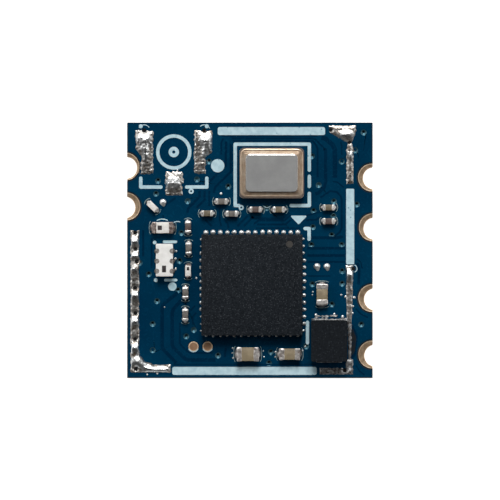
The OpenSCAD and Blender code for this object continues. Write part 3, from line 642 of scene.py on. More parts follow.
@dataclass
class CircuitBoard:
    """The laminate with its blue mask, the gaps between covered tracks, the vias and the gold pads."""

    wardrobe: Wardrobe
    mask_gap: float = 0.08
    edge_band: float = 0.07
    via_r: float = 0.15
    via_d: float = 0.07
    via_slope: float = 0.42
    gap_h: float = 0.002
    vias: tuple[Point, ...] = (
        (-4.56, 3.45), (-4.66, 2.81), (-3.09, 2.44), (-3.4, 0.87), (-2.63, 3.52), (-1.07, 3.17), (-2.03, 4.42),
        (3.08, 4.68), (3.42, 3.24), (3.16, 1.96), (3.13, 1.15), (3.05, 0.27), (4.17, 2.43), (4.15, 1.7),
        (4.07, 0.75), (4.56, 0.27), (5.31, 2.28), (5.65, 5.85), (4.56, 4.41), (-5.02, -1.18), (-4.61, -2.52),
        (-3.49, -0.52), (-3.56, -1.98), (-4.83, -3.65), (-4.83, -4.96), (-2.79, -3.95), (-3.16, -4.27),
        (-1.58, -5.22), (1.04, -5.05), (0.95, -5.6), (2.79, -4.77), (3.1, -1.68), (4.58, -1.03), (4.58, -1.65),
        (4.07, -2.68), (5.53, -3.68), (5.22, 4.97), (0.83, 2.1), (-5.48, -0.62))
    pads: tuple[EdgePad, ...] = (
        EdgePad((-6.18, 4.16), (-6.14, 4.1)), EdgePad((-6.13, 2.17), (-6.23, 2.13)),
        EdgePad((6.06, 3.61), (6.15, 3.58)), EdgePad((6.1, 1.14), (6.18, 1.08)),
        EdgePad((6.07, -2.38), (6.21, -2.43)), EdgePad((6.07, -5.18), (6.22, -5.23)))
    span: Span = field(init=False)

    def __post_init__(self) -> None:
        """Takes the board's box from the frame."""
        self.span = Span.of("circuit_board")

    @property
    def top(self) -> float:
        """Height of the mask."""
        return self.span.high.z

    def build(self) -> None:
        """Makes every piece of the board."""
        self._laminate()
        self._tracks()
        self._edge_pads()
        self._test_pads()

    def _laminate(self) -> None:
        """The board itself: half holes, dimples over the vias and openings in the mask round the gold. The small pit
        in each dimple is painted near-black as shade.
        """
        low, high = self.span.low, self.span.high
        body = Shape().block(low, high, slot=1)
        lids = [f for f in body.bm.faces if abs(f.normal.z) > 0.9]
        for lid in lids:
            lid.material_index = 0
        rim = bmesh.ops.inset_region(body.bm, faces=lids, thickness=self.edge_band, depth=0.0)["faces"]
        for f in rim:
            f.material_index = 1
        cutters = Shape()
        for pad in self.pads:
            cutters.disc(pad.land, pad.land_r + self.mask_gap, self.top - 0.03, self.top + 0.2, 1, sides=64)
            cutters.disc(pad.land, pad.land_r + self.mask_gap, -0.2, 0.03, 1, sides=64)
            cutters.disc(pad.hole, pad.hole_r + pad.plating, -0.4, self.top + 0.4, 1, sides=64)
        pits = Span.of("test_pads")
        for x in (pits.low.x + pits.size.y / 2, pits.high.x - pits.size.y / 2):
            cutters.disc((x, pits.mid.y), pits.size.y / 2 + 0.03, self.top - 0.035, self.top + 0.2, 1)
        body.carve(cutters)
        dimples = Shape()
        for x, y in self.vias:
            reach = self.via_r + self.via_slope * 0.12
            dimples.disc((x, y), self.via_r - self.via_d / self.via_slope, self.top - self.via_d,
                         self.top + self.via_slope * 0.12, 2, sides=28, rim=reach + 0.07)
            # A narrow pit just above the middle of each dimple, its walls painted near-black as the shade in the hole.
            dimples.disc((x, y + 0.035), 0.065, self.top - 0.3, self.top + 0.02, 3, sides=16)
        body.carve(dimples)
        body.piece("laminate_with_mask", self.wardrobe, (Look.MASK, Look.LAMINATE, Look.VIA_CUP, Look.PIT),
                   ("circuit_board",), sharp=14)

    def _tracks(self) -> None:
        """The darker gaps between the copper tracks under the mask."""
        base, crest = self.top - 0.01, self.top + self.gap_h
        gaps = Shape()
        runs: tuple[tuple[float, tuple[Point, ...]], ...] = (
            (0.13, ((-3.58, -2.1), (-4.3, -2.68), (-4.36, -2.85), (-4.36, -4.75), (-4.3, -4.92), (-3.66, -5.6))),
            (0.13, ((-3.42, -2.5), (-3.8, -2.92), (-3.86, -3.1), (-3.86, -4.7), (-3.78, -4.86), (-3.2, -5.4),
                    (-3.05, -5.45), (-1.72, -5.45))),
            (0.07, ((-3.48, -3.6), (-3.48, -4.6), (-3.4, -4.74), (-3.05, -5.05), (-2.9, -5.1), (-1.85, -5.1))),
            (0.06, ((-2.72, -2.75), (-2.95, -3.0))), (0.06, ((-2.66, -3.1), (-2.84, -3.3), (-2.84, -3.7))),
            (0.08, ((-1.2, -4.85), (-1.25, -5.3))),
            (0.05, ((-3.8, -5.67), (3.3, -5.67))), (0.06, ((-1.4, 5.68), (3.35, 5.68))),
            (0.07, ((-0.85, 5.44), (3.0, 5.44), (3.14, 5.4), (3.3, 5.2), (3.36, 5.05), (3.36, 3.62))),
            (0.06, ((-0.9, 5.56), (3.1, 5.56), (3.26, 5.5), (3.6, 5.16), (3.72, 5.0))),
            (0.12, ((3.72, 5.06), (3.76, 4.9), (3.76, 3.3), (3.68, 3.1), (3.4, 2.84), (3.25, 2.8))),
            (0.17, ((3.55, 5.6), (3.75, 5.55), (4.1, 5.25), (4.22, 5.0), (4.22, 3.6))),
            (0.06, ((4.5, 5.4), (4.56, 5.2), (4.56, 4.75))), (0.05, ((4.1, 3.42), (4.35, 3.38), (4.66, 3.12))),
            (0.07, ((3.5, 2.62), (3.66, 2.72), (3.98, 2.94), (4.3, 2.9), (4.5, 2.72), (4.56, 2.5), (4.56, 1.1),
                    (4.46, 0.9), (4.2, 0.68))),
            (0.11, ((2.95, 0.63), (4.3, 0.61), (4.62, 0.68))), (0.1, ((2.85, 0.1), (4.72, 0.1))),
            (0.1, ((2.85, -0.26), (4.72, -0.26))), (0.07, ((2.85, -0.58), (4.72, -0.58))),
            (0.05, ((2.88, -1.28), (4.0, -1.28))), (0.09, ((-1.18, 5.4), (-1.2, 4.2), (-2.02, 3.4), (-2.16, 3.06))),
            (0.08, ((-0.95, 5.3), (-0.95, 3.9), (-1.72, 3.14), (-1.8, 2.84))),
            (0.06, ((-1.32, 5.55), (-1.42, 5.35), (-1.42, 4.75))),
            (0.09, ((-2.5, 2.95), (-2.5, 2.66), (-3.08, 2.06), (-3.1, 1.86))),
            (0.08, ((-2.25, 2.95), (-2.25, 2.5), (-2.64, 2.12))), (0.07, ((-2.02, 2.95), (-2.02, 2.2))),
            (0.08, ((-3.7, 2.6), (-4.15, 2.28), (-4.35, 2.05))), (0.06, ((-4.3, 1.75), (-4.3, 1.55))),
            (0.08, ((-5.3, 1.0), (-5.3, -0.3))), (0.07, ((-4.88, 0.6), (-4.88, -0.9))),
            (0.06, ((-1.5, 2.1), (-1.5, 1.5), (-1.42, 1.2))), (0.07, ((-1.3, 1.55), (-1.1, 1.32), (-1.06, 1.1))),
            (0.07, ((-2.2, 1.5), (-1.9, 1.2))), (0.08, ((-0.1, 1.72), (-0.62, 1.2))), (0.08, ((0.16, 1.66), (-0.3, 1.2))),
            (0.08, ((0.05, 1.68), (0.22, 1.58), (1.64, 1.58), (1.96, 1.88))),
            (0.07, ((0.2, 1.3), (0.42, 1.48), (1.72, 1.48), (2.0, 1.74))),
            (0.07, ((0.36, 1.28), (1.76, 1.28), (2.04, 1.52))), (0.05, ((0.3, 1.1), (2.5, 1.1))),
            (0.07, ((2.8, 1.5), (3.3, 1.52), (3.46, 1.64))), (0.06, ((2.7, 1.7), (3.5, 1.9))),
            (0.1, ((5.34, -0.62), (5.42, -0.9), (5.4, -1.7))), (0.05, ((5.3, -0.42), (5.5, -0.58), (5.58, -0.9))),
            (0.06, ((5.26, -2.9), (5.5, -3.16), (5.86, -3.34))), (0.05, ((5.26, -5.7), (5.44, -6.0), (5.7, -6.2))))
        for width, points in runs:
            gaps.ribbon(points, width * 1.35, base, crest)
        gaps.piece("track_gaps", self.wardrobe, (Look.MASK_IN_GAP,))

    def _edge_pads(self) -> None:
        """The gold rings and barrels of the half holes. The paler rim round each ring is a painted highlight: a lit
        copy of the copper standing in for the light caught by the raised rim.
        """
        high = self.top
        for side, node in ((-1, "left_edge_pads"), (1, "right_edge_pads")):
            gold, beyond = Shape(), Shape()
            for pad in (p for p in self.pads if p.land[0] * side > 0):
                outer, inner, wall = pad.land_r, pad.hole_r, pad.hole_r + pad.plating
                rings = [(pad.land, outer, high - 0.03), (pad.land, outer, high - 0.004),
                         (pad.land, outer - 0.012, high + 0.008), (pad.land, outer - 0.028, high + 0.006),
                         (pad.land, outer - 0.04, high + 0.002), (pad.hole, inner + 0.035, high + 0.002),
                         (pad.hole, inner + 0.012, high - 0.006), (pad.hole, inner, high - 0.025),
                         (pad.hole, inner, 0.02), (pad.hole, inner + 0.01, 0.0), (pad.land, outer, 0.0),
                         (pad.land, outer, 0.028), (pad.hole, wall, 0.028), (pad.hole, wall, high - 0.03)]
                # The bands in slot 1, the raised outer rim and the lip of the hole, take the paler copper as a painted
                # highlight.
                gold.skin([circle(*ring) for ring in rings], (1, 1, 1, 1, 0, 1, 1, 0), ring=True)
            edge = side * self.span.high.x
            near, far = sorted((edge, edge + side * 2))
            gold.carve(beyond.block((near, -8, -1), (far, 8, 3), slot=1))
            gold.piece(node.replace("edge_pads", "gold_half_holes"), self.wardrobe,
                       (Look.COPPER, Look.COPPER_RIM), (node,), sharp=50)

    def _test_pads(self) -> None:
        """The two round gold pads near the processor. Each has a paler rim painted as a highlight and a pale arc along
        its lower edge painted as the highlight on its lit wall.
        """
        span = Span.of("test_pads")
        radius, foot = span.size.y / 2, span.low.z
        pads = Shape()
        for x in (span.low.x + radius, span.high.x - radius):
            at = (x, span.mid.y)
            loops = [(at, radius, foot), (at, radius, self.top), (at, radius - 0.02, self.top + 0.012),
                     (at, radius - 0.05, self.top + 0.004), (at, 0.06, self.top + 0.008)]
            pads.skin([circle(*loop) for loop in loops], (1, 1, 1, 0))
            # A pale arc in the ink finish along the lower edge of each pad: a painted highlight, not printed ink.
            arc = [math.radians(a) for a in range(205, 336, 13)]
            pads.ribbon([(x + (radius + 0.01) * math.cos(a), span.mid.y + (radius + 0.01) * math.sin(a)) for a in arc],
                        0.04, self.top - 0.01, self.top + 0.006, 2)
        pads.piece("round_test_pads", self.wardrobe, (Look.TEST_COPPER, Look.COPPER_RIM, Look.INK), ("test_pads",),
                   sharp=60)


# ---- Solder left on bare lands ----

@dataclass
class SolderSkin:
    """Reflowed solder as a skin of heights: it wets convex patches, swells in places and sinks into vias.

    Swells and dents are (x, y, reach across, reach along, height); pits are (x, y, radius).
    """

    name: str
    nodes: tuple[str, ...]
    beds: tuple[tuple[Point, ...], ...]
    swells: tuple[tuple[float, float, float, float, float], ...] = ()
    pits: tuple[tuple[float, float, float], ...] = ()
    depth: float = 0.05
    shoulder: float = 0.13
    ragged: float = 0.035
    ripple: float = 0.015
    ripple_scale: float = 3.0
    grit: float = 0.01
    grit_scale: float = 9.0
    cell: float = 0.022
    smooth_from: float = 0.045
    looks: tuple[Look, Look] = (Look.LAND_SOLDER, Look.ROUGH_SOLDER)

    def wetted(self, x: float, y: float) -> float:
        """How far a point lies inside the wetted outline; negative outside."""
        deepest = -1.0
        for bed in self.beds:
            inside = 9.0
            for (ax, ay), (bx, by) in zip(bed, bed[1:] + bed[:1]):
                run = math.hypot(bx - ax, by - ay)
                inside = min(inside, ((bx - ax) * (y - ay) - (by - ay) * (x - ax)) / run)
            deepest = max(deepest, inside)
        return deepest

    def swell(self, x: float, y: float) -> float:
        """How far the solder stands over its flat depth at a point."""
        return sum(h * math.exp(-((x - cx) / rx) ** 2 - ((y - cy) / ry) ** 2)
                   for cx, cy, rx, ry, h in self.swells)

    def rise(self, x: float, y: float) -> float:
        """Height of the skin over the board at a point."""
        inside = self.wetted(x, y) + self.ragged * noise.noise((x * 7, y * 7, 3.0))
        if inside < 0:
            return max(-0.03, inside)
        share = min(1.0, inside / self.shoulder)
        tall = self.depth + self.swell(x, y)
        tall += self.ripple * noise.noise((x * self.ripple_scale, y * self.ripple_scale, 0.0))
        tall += self.grit * noise.noise((x * self.grit_scale, y * self.grit_scale, 7.0))
        height = max(0.012, tall) * (1 - (1 - share) ** 2)
        for cx, cy, radius in self.pits:
            far = math.hypot(x - cx, y - cy) / radius
            if far < 1.8:
                height = (height + 0.02) * min(1.0, max(0.0, (far - 0.7) / 1.1)) ** 0.8 - 0.02
        return height

    def build(self, wardrobe: Wardrobe, top: float) -> None:
        """Makes the solder.

        Args:
            wardrobe: Where the materials come from.
            top: Height of the board's mask.
        """
        solder = Shape()
        xs, ys = [p[0] for bed in self.beds for p in bed], [p[1] for bed in self.beds for p in bed]
        grid: dict[tuple[int, int], bmesh.types.BMVert] = {}
        for i in range(int((max(xs) - min(xs)) / self.cell) + 7):
            for j in range(int((max(ys) - min(ys)) / self.cell) + 7):
                x, y = min(xs) + (i - 3) * self.cell, min(ys) + (j - 3) * self.cell
                if self.wetted(x, y) > -self.ragged - 1.5 * self.cell:
                    grid[i, j] = solder.bm.verts.new((x, y, top + self.rise(x, y)))
        for i, j in grid:
            around = [(i, j), (i + 1, j), (i + 1, j + 1), (i, j + 1)]
            if all(key in grid for key in around):
                face = solder.bm.faces.new([grid[key] for key in around])
                x, y, _ = face.calc_center_median()
                face.material_index = int(self.swell(x, y) + 0.03 * noise.noise((x * 6, y * 6, 0)) < self.smooth_from)
        loose = [v for v in solder.bm.verts if not v.link_faces]
        bmesh.ops.delete(solder.bm, geom=loose, context="VERTS")
        made = bmesh.ops.extrude_face_region(solder.bm, geom=list(solder.bm.faces), use_keep_orig=True)["geom"]
        for v in (g for g in made if isinstance(g, bmesh.types.BMVert)):
            v.co.z = top - 0.06
        solder.piece(self.name, wardrobe, self.looks, self.nodes, sharp=80)


def rectangle(x0: float, y0: float, x1: float, y1: float) -> tuple[Point, ...]:
    """The corners of a rectangle, in order."""
    return ((x0, y0), (x1, y0), (x1, y1), (x0, y1))


def beads(x: float, top: float, pitch: float, count: int, size: float, height: float) -> tuple:
    """A column of small swells along -Y."""
    return tuple((x, top - i * pitch, size, pitch * 0.36, height) for i in range(count))


class BareLands:
    """All the soldered lands of the missing shield and antenna socket, and the unused pads."""

    left_pits = ((-5.69, 0.88), (-5.69, 0.07), (-5.62, -0.55), (-5.7, -1.87), (-5.69, -3.12), (-5.7, -4.41),
                 (-5.66, -5.9))
    other_pits = ((5.13, -0.92), (4.71, -5.96), (-5.25, 5.96), (-2.27, 5.96), (4.02, 5.98), (4.95, 5.36))

    def __init__(self, wardrobe: Wardrobe, top: float) -> None:
        """Keeps what every land needs."""
        self.wardrobe = wardrobe
        self.top = top

    def _shield_lands(self) -> tuple[SolderSkin, ...]:
        """The strips that carried the shield."""
        left = SolderSkin(
            "left_shield_solder", ("shield_land_left",),
            (rectangle(-5.93, -6.08, -5.5, 0.99), rectangle(-5.9, -6.08, -3.93, -5.68),
             ((-5.9, -5.9), (-5.43, -5.9), (-5.43, -5.28), (-5.52, -4.85), (-5.9, -4.85)),
             ((-5.9, -6.08), (-5.2, -6.08), (-5.2, -5.54), (-5.43, -5.26), (-5.9, -5.26)),
             ((-5.9, -6.08), (-4.7, -6.08), (-4.7, -5.7), (-5.2, -5.52), (-5.9, -5.52))),
            ((-5.7, 0.44, 0.6, 0.2, 0.1), (-5.7, -0.28, 0.5, 0.12, 0.07), (-5.72, -0.95, 0.5, 0.2, 0.05),
             (-5.7, -2.26, 0.6, 0.2, 0.1), (-5.7, -3.54, 0.6, 0.2, 0.1), (-5.7, -4.86, 0.5, 0.26, 0.1),
             (-5.62, -5.5, 0.34, 0.24, 0.11), (-5.36, -5.7, 0.26, 0.18, 0.07), (-5.05, -5.87, 0.3, 0.16, 0.09),
             (-4.5, -5.93, 0.45, 0.14, 0.1), (-4.12, -5.9, 0.14, 0.12, 0.04)),
            tuple((x, y, 0.1) for x, y in self.left_pits), depth=0.045, grit=0.008,
            ripple=0.01, shoulder=0.1)
        upper = SolderSkin(
            "upper_shield_solder", ("shield_land_top_right",),
            (((3.93, 5.86), (4.84, 5.33), (5.06, 5.33), (5.27, 5.9), (5.27, 6.2), (3.93, 6.2)),
             rectangle(4.79, 3.29, 5.14, 4.95), ((4.79, 4.9), (5.14, 4.9), (5.05, 5.4), (4.87, 5.4))),
            ((4.78, 5.74, 0.42, 0.21, 0.1), (5.02, 4.72, 0.13, 0.22, 0.09),
             (5.0, 4.2, 0.12, 0.2, 0.02), (5.0, 3.75, 0.12, 0.2, 0.02)),
            ((4.02, 5.98, 0.09), (4.95, 5.36, 0.08)), shoulder=0.16, ripple=0.008, grit=0.009)
        lower = SolderSkin(
            "lower_shield_solder", ("shield_land_bottom_right",),
            (rectangle(4.76, -1.35, 5.15, -0.74), ((4.81, -3.5), (5.06, -3.5), (5.13, -1.2), (4.77, -1.2))),
            ((4.95, -1.24, 0.4, 0.26, 0.12), (4.95, -1.75, 0.08, 0.3, 0.02)),
            ((5.13, -0.92, 0.09),), depth=0.035, grit=0.014, grit_scale=7, ripple=0.01, shoulder=0.09)
        thin = SolderSkin(
            "thin_shield_solder", (),
            (((4.9, -5.9), (5.02, -5.9), (5.06, -3.35), (4.83, -3.35)),
             rectangle(3.46, -6.17, 5.12, -5.84), rectangle(4.76, -6.1, 5.12, -5.42)),
            ((4.96, -5.65, 0.14, 0.16, 0.02), (4.55, -5.84, 0.12, 0.07, 0.05), (4.95, -6.0, 0.16, 0.12, 0.05)),
            ((4.71, -5.96, 0.11),), depth=0.035, grit=0.012, grit_scale=6, ripple=0.01, shoulder=0.07,
            looks=(Look.LAND_SOLDER, Look.DULL_SOLDER))
        return left, upper, lower, thin

    def _socket_lands(self) -> tuple[SolderSkin, ...]:
        """The lands that carried the antenna socket."""
        left = SolderSkin(
            "left_ground_solder", ("antenna_land_left",),
            (((-5.66, 5.08), (-5.3, 4.5), (-4.82, 4.5), (-4.8, 5.96), (-5.7, 5.96)),
             rectangle(-5.4, 3.8, -4.81, 5.0)),
            ((-5.25, 5.52, 0.42, 0.24, 0.1), (-5.23, 5.12, 0.24, 0.3, 0.1), (-5.19, 4.72, 0.13, 0.36, 0.08), (-5.1, 3.83, 0.26, 0.04, 0.02),
             *beads(-4.85, 5.3, 0.19, 8, 0.045, 0.045)),
            ((-5.25, 5.96, 0.11),), depth=0.035, grit=0.012, ripple=0.01, ragged=0.07, ripple_scale=6)
        right = SolderSkin(
            "right_ground_solder", ("antenna_land_right",),
            (((-2.77, 4.6), (-2.2, 4.6), (-1.88, 4.9), (-1.87, 5.96), (-2.77, 5.96)),
             rectangle(-2.77, 3.8, -2.19, 5.0)),
            ((-2.18, 5.48, 0.4, 0.26, 0.11), (-2.14, 5.1, 0.26, 0.3, 0.09), (-2.25, 4.72, 0.14, 0.34, 0.06),
             (-2.35, 4.3, 0.12, 0.1, 0.02),
             *beads(-2.73, 5.6, 0.19, 9, 0.05, 0.045)),
            ((-2.27, 5.96, 0.1),), depth=0.035, grit=0.013, ripple=0.012, ragged=0.07, ripple_scale=6)
        signal = SolderSkin(
            "signal_solder", ("antenna_land_signal",),
            (rectangle(-4.18, 2.73, -3.35, 3.9), ((-4.24, 3.3), (-3.28, 3.3), (-3.3, 3.55), (-4.22, 3.55))),
            ((-3.82, 3.33, 0.33, 0.24, 0.19), (-3.45, 3.0, 0.1, 0.12, 0.02), (-3.78, 2.79, 0.4, 0.03, 0.02)),
            (), depth=0.03, grit=0.014, ripple=0.012, ragged=0.07, ripple_scale=6)
        return left, right, signal

    def build(self) -> None:
        """Makes every land."""
        for land in self._shield_lands() + self._socket_lands():
            land.build(self.wardrobe, self.top)
        self._unused_pads()
        self._dark_film()
        self._via_mouths()

    def _unused_pads(self) -> None:
        """Domed solder on three pads that carry nothing, and stray beads."""
        pads = Shape()
        for x, y, turn in ((-4.32, 2.36, 45), (3.33, -0.83, 0), (3.82, -0.83, 0)):
            pads.lump((x, y + 0.03, self.top), (0.18, 0.17, 0.12), turn=turn)
            pads.lump((x + 0.03, y - 0.1, self.top), (0.1, 0.11, 0.07), turn=turn)
        pads.reflow(0.02, 3, 0.01, 7)
        pads.piece("unused_pad_solder", self.wardrobe, (Look.TIN,), ("spare_pads",), sharp=80)
        stray = Shape()
        for x, y, r in ((4.75, -2.31, 0.07), (5.18, -2.35, 0.07), (4.53, -2.22, 0.05), (3.12, -2.07, 0.05),
                        (3.1, -2.22, 0.05), (5.12, -2.78, 0.05), (5.1, -3.12, 0.05), (-4.24, -2.83, 0.04),
                        (-5.1, -6.17, 0.05), (-4.6, -6.12, 0.05), (-3.66, -0.05, 0.06), (-3.7, -0.42, 0.07),
                        (-3.69, -0.93, 0.07), (-1.43, 2.81, 0.07), (-3.6, 3.98, 0.04), (3.27, -3.22, 0.08),
                        (4.19, -3.17, 0.06), (4.6, -3.3, 0.08), (-2.66, -1.38, 0.06), (0.7, -5.3, 0.04),
                        (0.66, -5.0, 0.04), (-0.85, -4.86, 0.05), (-0.87, -5.1, 0.04), (-0.83, -5.35, 0.05),
                        (2.62, -4.98, 0.05), (2.75, -4.78, 0.05), (1.27, -5.05, 0.05), (1.25, -5.3, 0.04)):
            stray.lump((x, y, self.top), (r, r * 1.1, r * 0.7))
        stray.piece("stray_solder_beads", self.wardrobe, (Look.TIN,))

    def _dark_film(self) -> None:
        """A dark film on the mask beside the inductor, in two layers: thinner and less dark towards its edge."""
        film = Shape()
        for spread, slot in ((1.0, 0), (0.78, 1)):
            arc = [(5.03 + 0.31 * spread * math.cos(a) * (1 + 0.08 * math.sin(5 * a)), -4.55 + 0.85 * spread * math.sin(a))
                   for a in (math.radians(d) for d in range(-90, 91, 10))]
            film.prism(arc, self.top - 0.01, self.top + 0.002 + 0.002 * slot, slot)
        film.piece("dried_flux_film", self.wardrobe, (Look.MASK_IN_GAP, Look.DRIED_FLUX))

    def _via_mouths(self) -> None:
        """Flat near-black discs over the open vias in the strips: painted shade standing in for the holes."""
        mouths = Shape()
        for x, y in self.left_pits + self.other_pits:
            mouths.disc((x, y), 0.1, self.top - 0.01, self.top + 0.004, sides=20)
        mouths.piece("open_via_mouths", self.wardrobe, (Look.PIT,))


# ---- Processor ----

@dataclass
class Processor:
    """The square leadless package with solder climbing out at each of its leads."""

    wardrobe: Wardrobe
    pitch: float = 0.35
    per_side: int = 14
    edge: float = 0.025
    dot_r: float = 0.17

    def build(self) -> None:
        """Makes the body and its solder."""
        span = Span.of("processor_body")
        body = Shape().block(span.low, span.high, edge=self.edge, rounds=3)
        dot = (span.high.x - 0.64, span.high.y - 0.48)
        knife = Shape().disc(dot, self.dot_r, span.high.z - 0.02, span.high.z + 0.3, 1, sides=40)
        body.carve(knife)
        body.piece("processor_package", self.wardrobe, (Look.PACKAGE, Look.PACKAGE_MARK), ("processor_body",))
        self._toes(span)
        self.wardrobe.dress("processor_thermal_pad", Look.TIN)

    def toe(self, side: int, i: int) -> tuple[float, float, float, float]:
        """How far a toe reaches out, its half width, half depth and height. The sides run +Y, -X, -Y, +X."""
        if side == 0:
            return 0.11, 0.13, 0.13, 0.1
        if side == 1:
            return (0.05, 0.09, 0.06, 0.09) if 2 < i < 12 else (0.03, 0.05, 0.05, 0.07)
        if side == 2:
            return 0.03, 0.07, 0.06, 0.09
        return (0.09, 0.1, 0.11, 0.08) if 2 < i < 13 else (0.05, 0.07, 0.08, 0.06)

    def _toes(self, span: Span) -> None:
        """A bead of solder at the outer end of each lead."""
        rng = random.Random(21)
        solder = Shape()
        board = span.low.z - 0.04
        half = span.size.x / 2
        for side in range(4):
            turn = Matrix.Rotation(math.radians(90 * side), 4, "Z")
            for i in range(self.per_side):
                reach, width, depth, height = (v * rng.uniform(0.88, 1.08) for v in self.toe(side, i))
                along = (i - (self.per_side - 1) / 2) * self.pitch + rng.uniform(-0.015, 0.015)
                at = Vector((span.mid.x, span.mid.y, board)) + turn @ Vector((along, half + reach, 0.0))
                solder.lump(at, (width, depth, height), turn=90 * side, fineness=3)
                inward = Vector((span.mid.x, span.mid.y, board)) + turn @ Vector((along, half - 0.1, 0.12))
                low = inward - Vector((0.085, 0.085, 0.11))
                solder.block(low, inward + Vector((0.085, 0.085, 0.1)), edge=0.02, rounds=1)
        solder.piece("processor_lead_solder", self.wardrobe, (Look.TIN,), ("processor_leads",), sharp=80)


# ---- Crystal ----

@dataclass
class Crystal:
    """The ceramic crystal can: base, gold seal ring and bare grey lid."""

    wardrobe: Wardrobe
    corner: float = 0.22

    def build(self) -> None:
        """Makes the base, the ring and the lid."""
        base = Span.of("crystal_base")
        can = Shape().block(base.low, base.high, edge=0.02, corner=self.corner)
        cavity = Span.of("crystal_blank")
        can.carve(Shape().block(cavity.low - Vector((0.08, 0.08, 0.1)), cavity.high + Vector((0.08, 0.08, 1))))
        can.piece("crystal_ceramic_base", self.wardrobe, (Look.CERAMIC_BASE,), ("crystal_base",))
        ring, lid = Span.of("crystal_seal_ring"), Span.of("crystal_lid")
        foot, crest = ring.low.z, ring.high.z
        profile = ((0.0, 0.0, foot), (0.0, 0.0, foot + 0.012), (0.012, 0.0, foot + 0.022), (0.035, 0.0, foot + 0.028),
                   (0.07, 0.0, foot + 0.029), (0.09, 0.0, foot + 0.026), (0.12, 0.0, foot + 0.027),
                   (0.26, 0.015, crest - 0.001), (0.38, 0.0, crest - 0.001), (0.4, 0.0, foot))
        gold = Shape().skin([self._tier(ring, inset, slope, self.corner + 0.06, z) for inset, slope, z in profile],
                            ring=True)
        gold.piece("crystal_gold_ring", self.wardrobe, (Look.SEAL_GOLD,), ("crystal_seal_ring",), sharp=50)
        profile = ((0.02, 0.0, lid.low.z), (0.0, 0.0, lid.low.z + 0.012), (0.0, 0.0, lid.high.z - 0.022),
                   (0.004, 0.004, lid.high.z - 0.017), (0.01, 0.036, lid.high.z - 0.002), (0.014, 0.04, lid.high.z),
                   (0.05, 0.04, lid.high.z))
        # Slot 1, the sides and the bevel of the lid, takes the paler lid metal as a painted highlight.
        cover = Shape().skin([self._tier(lid, inset, slope, self.corner, z) for inset, slope, z in profile],
                             (1, 1, 1, 1, 1, 0, 0))
        cover.piece("crystal_grey_lid", self.wardrobe, (Look.LID, Look.LID_RIM), ("crystal_lid",), sharp=50)
        self.wardrobe.dress("crystal_terminals", Look.TIN)
        self.wardrobe.dress("crystal_blank", Look.QUARTZ)

    @staticmethod
    def _tier(span: Span, inset: float, slope: float, corner: float, height: float) -> list[Vector]:
        """One level of a stepped lid or ring, drawn in by an inset and by a further slope on its +Y side."""
        return rounded(Span(span.low, span.high - Vector((0, slope, 0))), inset, corner, height)


# ---- Inductor and filter ----

@dataclass
class Inductor:
    """The moulded power inductor with rough solder along its upper terminal."""

    wardrobe: Wardrobe

    def build(self) -> None:
        """Makes the core and its soldered straps."""
        core = Span.of("inductor_core")
        Shape().block(core.low, core.high, edge=0.03, corner=0.07).piece(
            "inductor_moulded_core", self.wardrobe, (Look.CORE,), ("inductor_core",))
        straps = Span.of("inductor_terminals")
        solder = Shape()
        low, board = straps.low, straps.low.z
        for end, y in ((1, core.high.y), (-1, core.low.y)):
            near, far = sorted((y - end * 0.4, y + end * 0.06))
            solder.block((low.x, near, board), (straps.high.x, far, board + 0.09), edge=0.02)
            near, far = sorted((y - end * 0.01, y + end * 0.05))
            solder.block((low.x, near, board + 0.02), (straps.high.x, far, board + 0.5), edge=0.015)
        solder.piece("inductor_soldered_straps", self.wardrobe, (Look.DULL_SOLDER,), ("inductor_terminals",))
        edge = core.high.y
        SolderSkin("inductor_rough_solder", (), (rectangle(3.06, edge - 0.1, 4.84, edge + 0.1),
                                                 rectangle(3.25, edge + 0.14, 4.35, edge + 0.24)),
                   ((3.8, edge, 1.2, 0.06, 0.12), (4.1, edge + 0.16, 0.25, 0.05, 0.05)),
                   depth=0.03, ragged=0.1, grit=0.03, grit_scale=6, ripple=0.03, shoulder=0.06,
                   ripple_scale=4, cell=0.018, smooth_from=9,
                   looks=(Look.LAND_SOLDER, Look.DULL_SOLDER)).build(self.wardrobe, board)


@dataclass
class Filter:
    """The white ceramic filter with three metal terminals let into each long side."""

    wardrobe: Wardrobe
    pitch: float = 0.5
    pin_w: float = 0.24
    pin_d: float = 0.17

    def build(self) -> None:
        """Makes the body, the terminals and the dark mark."""
        span = Span.of("filter_body")
        mid_y, top, board = -0.54, span.high.z, span.low.z - 0.04
        body = Shape().block(span.low, span.high, edge=0.04)
        pins, knife = Shape(), Shape()
        for side, edge_x in ((-1, span.low.x), (1, span.high.x)):
            for i in (-1, 0, 1):
                y = mid_y + i * self.pitch
                inner = edge_x - side * (self.pin_d - self.pin_w / 2)
                for part, grow, high in ((pins, 0.0, top - 0.03), (knife, 0.002, top + 0.2)):
                    half = self.pin_w / 2 + grow
                    arc = [(inner - side * half * math.cos(t), y + half * math.sin(t))
                           for t in (math.radians(a) for a in range(-90, 91, 15))]
                    wide = edge_x + side * (0.004 if part is pins else 0.3)
                    part.prism([(wide, y - half), *arc, (wide, y + half)], board if part is pins else -1, high)
                pins.lump((edge_x + side * 0.01, y, board), (0.08, 0.12, 0.16))
        body.carve(knife)
        body.piece("filter_white_body", self.wardrobe, (Look.FILTER_CERAMIC,), ("filter_body",))
        pins.piece("filter_terminal_metal", self.wardrobe, (Look.FILTER_METAL,), ("filter_terminals",))
        mark = Shape().block((span.mid.x - 0.12, -1.09, top - 0.01), (span.mid.x + 0.08, -0.76, top + 0.008), edge=0.004)
        mark.piece("filter_dark_mark", self.wardrobe, (Look.CHIP_MARK,))


# ---- Chip parts ----

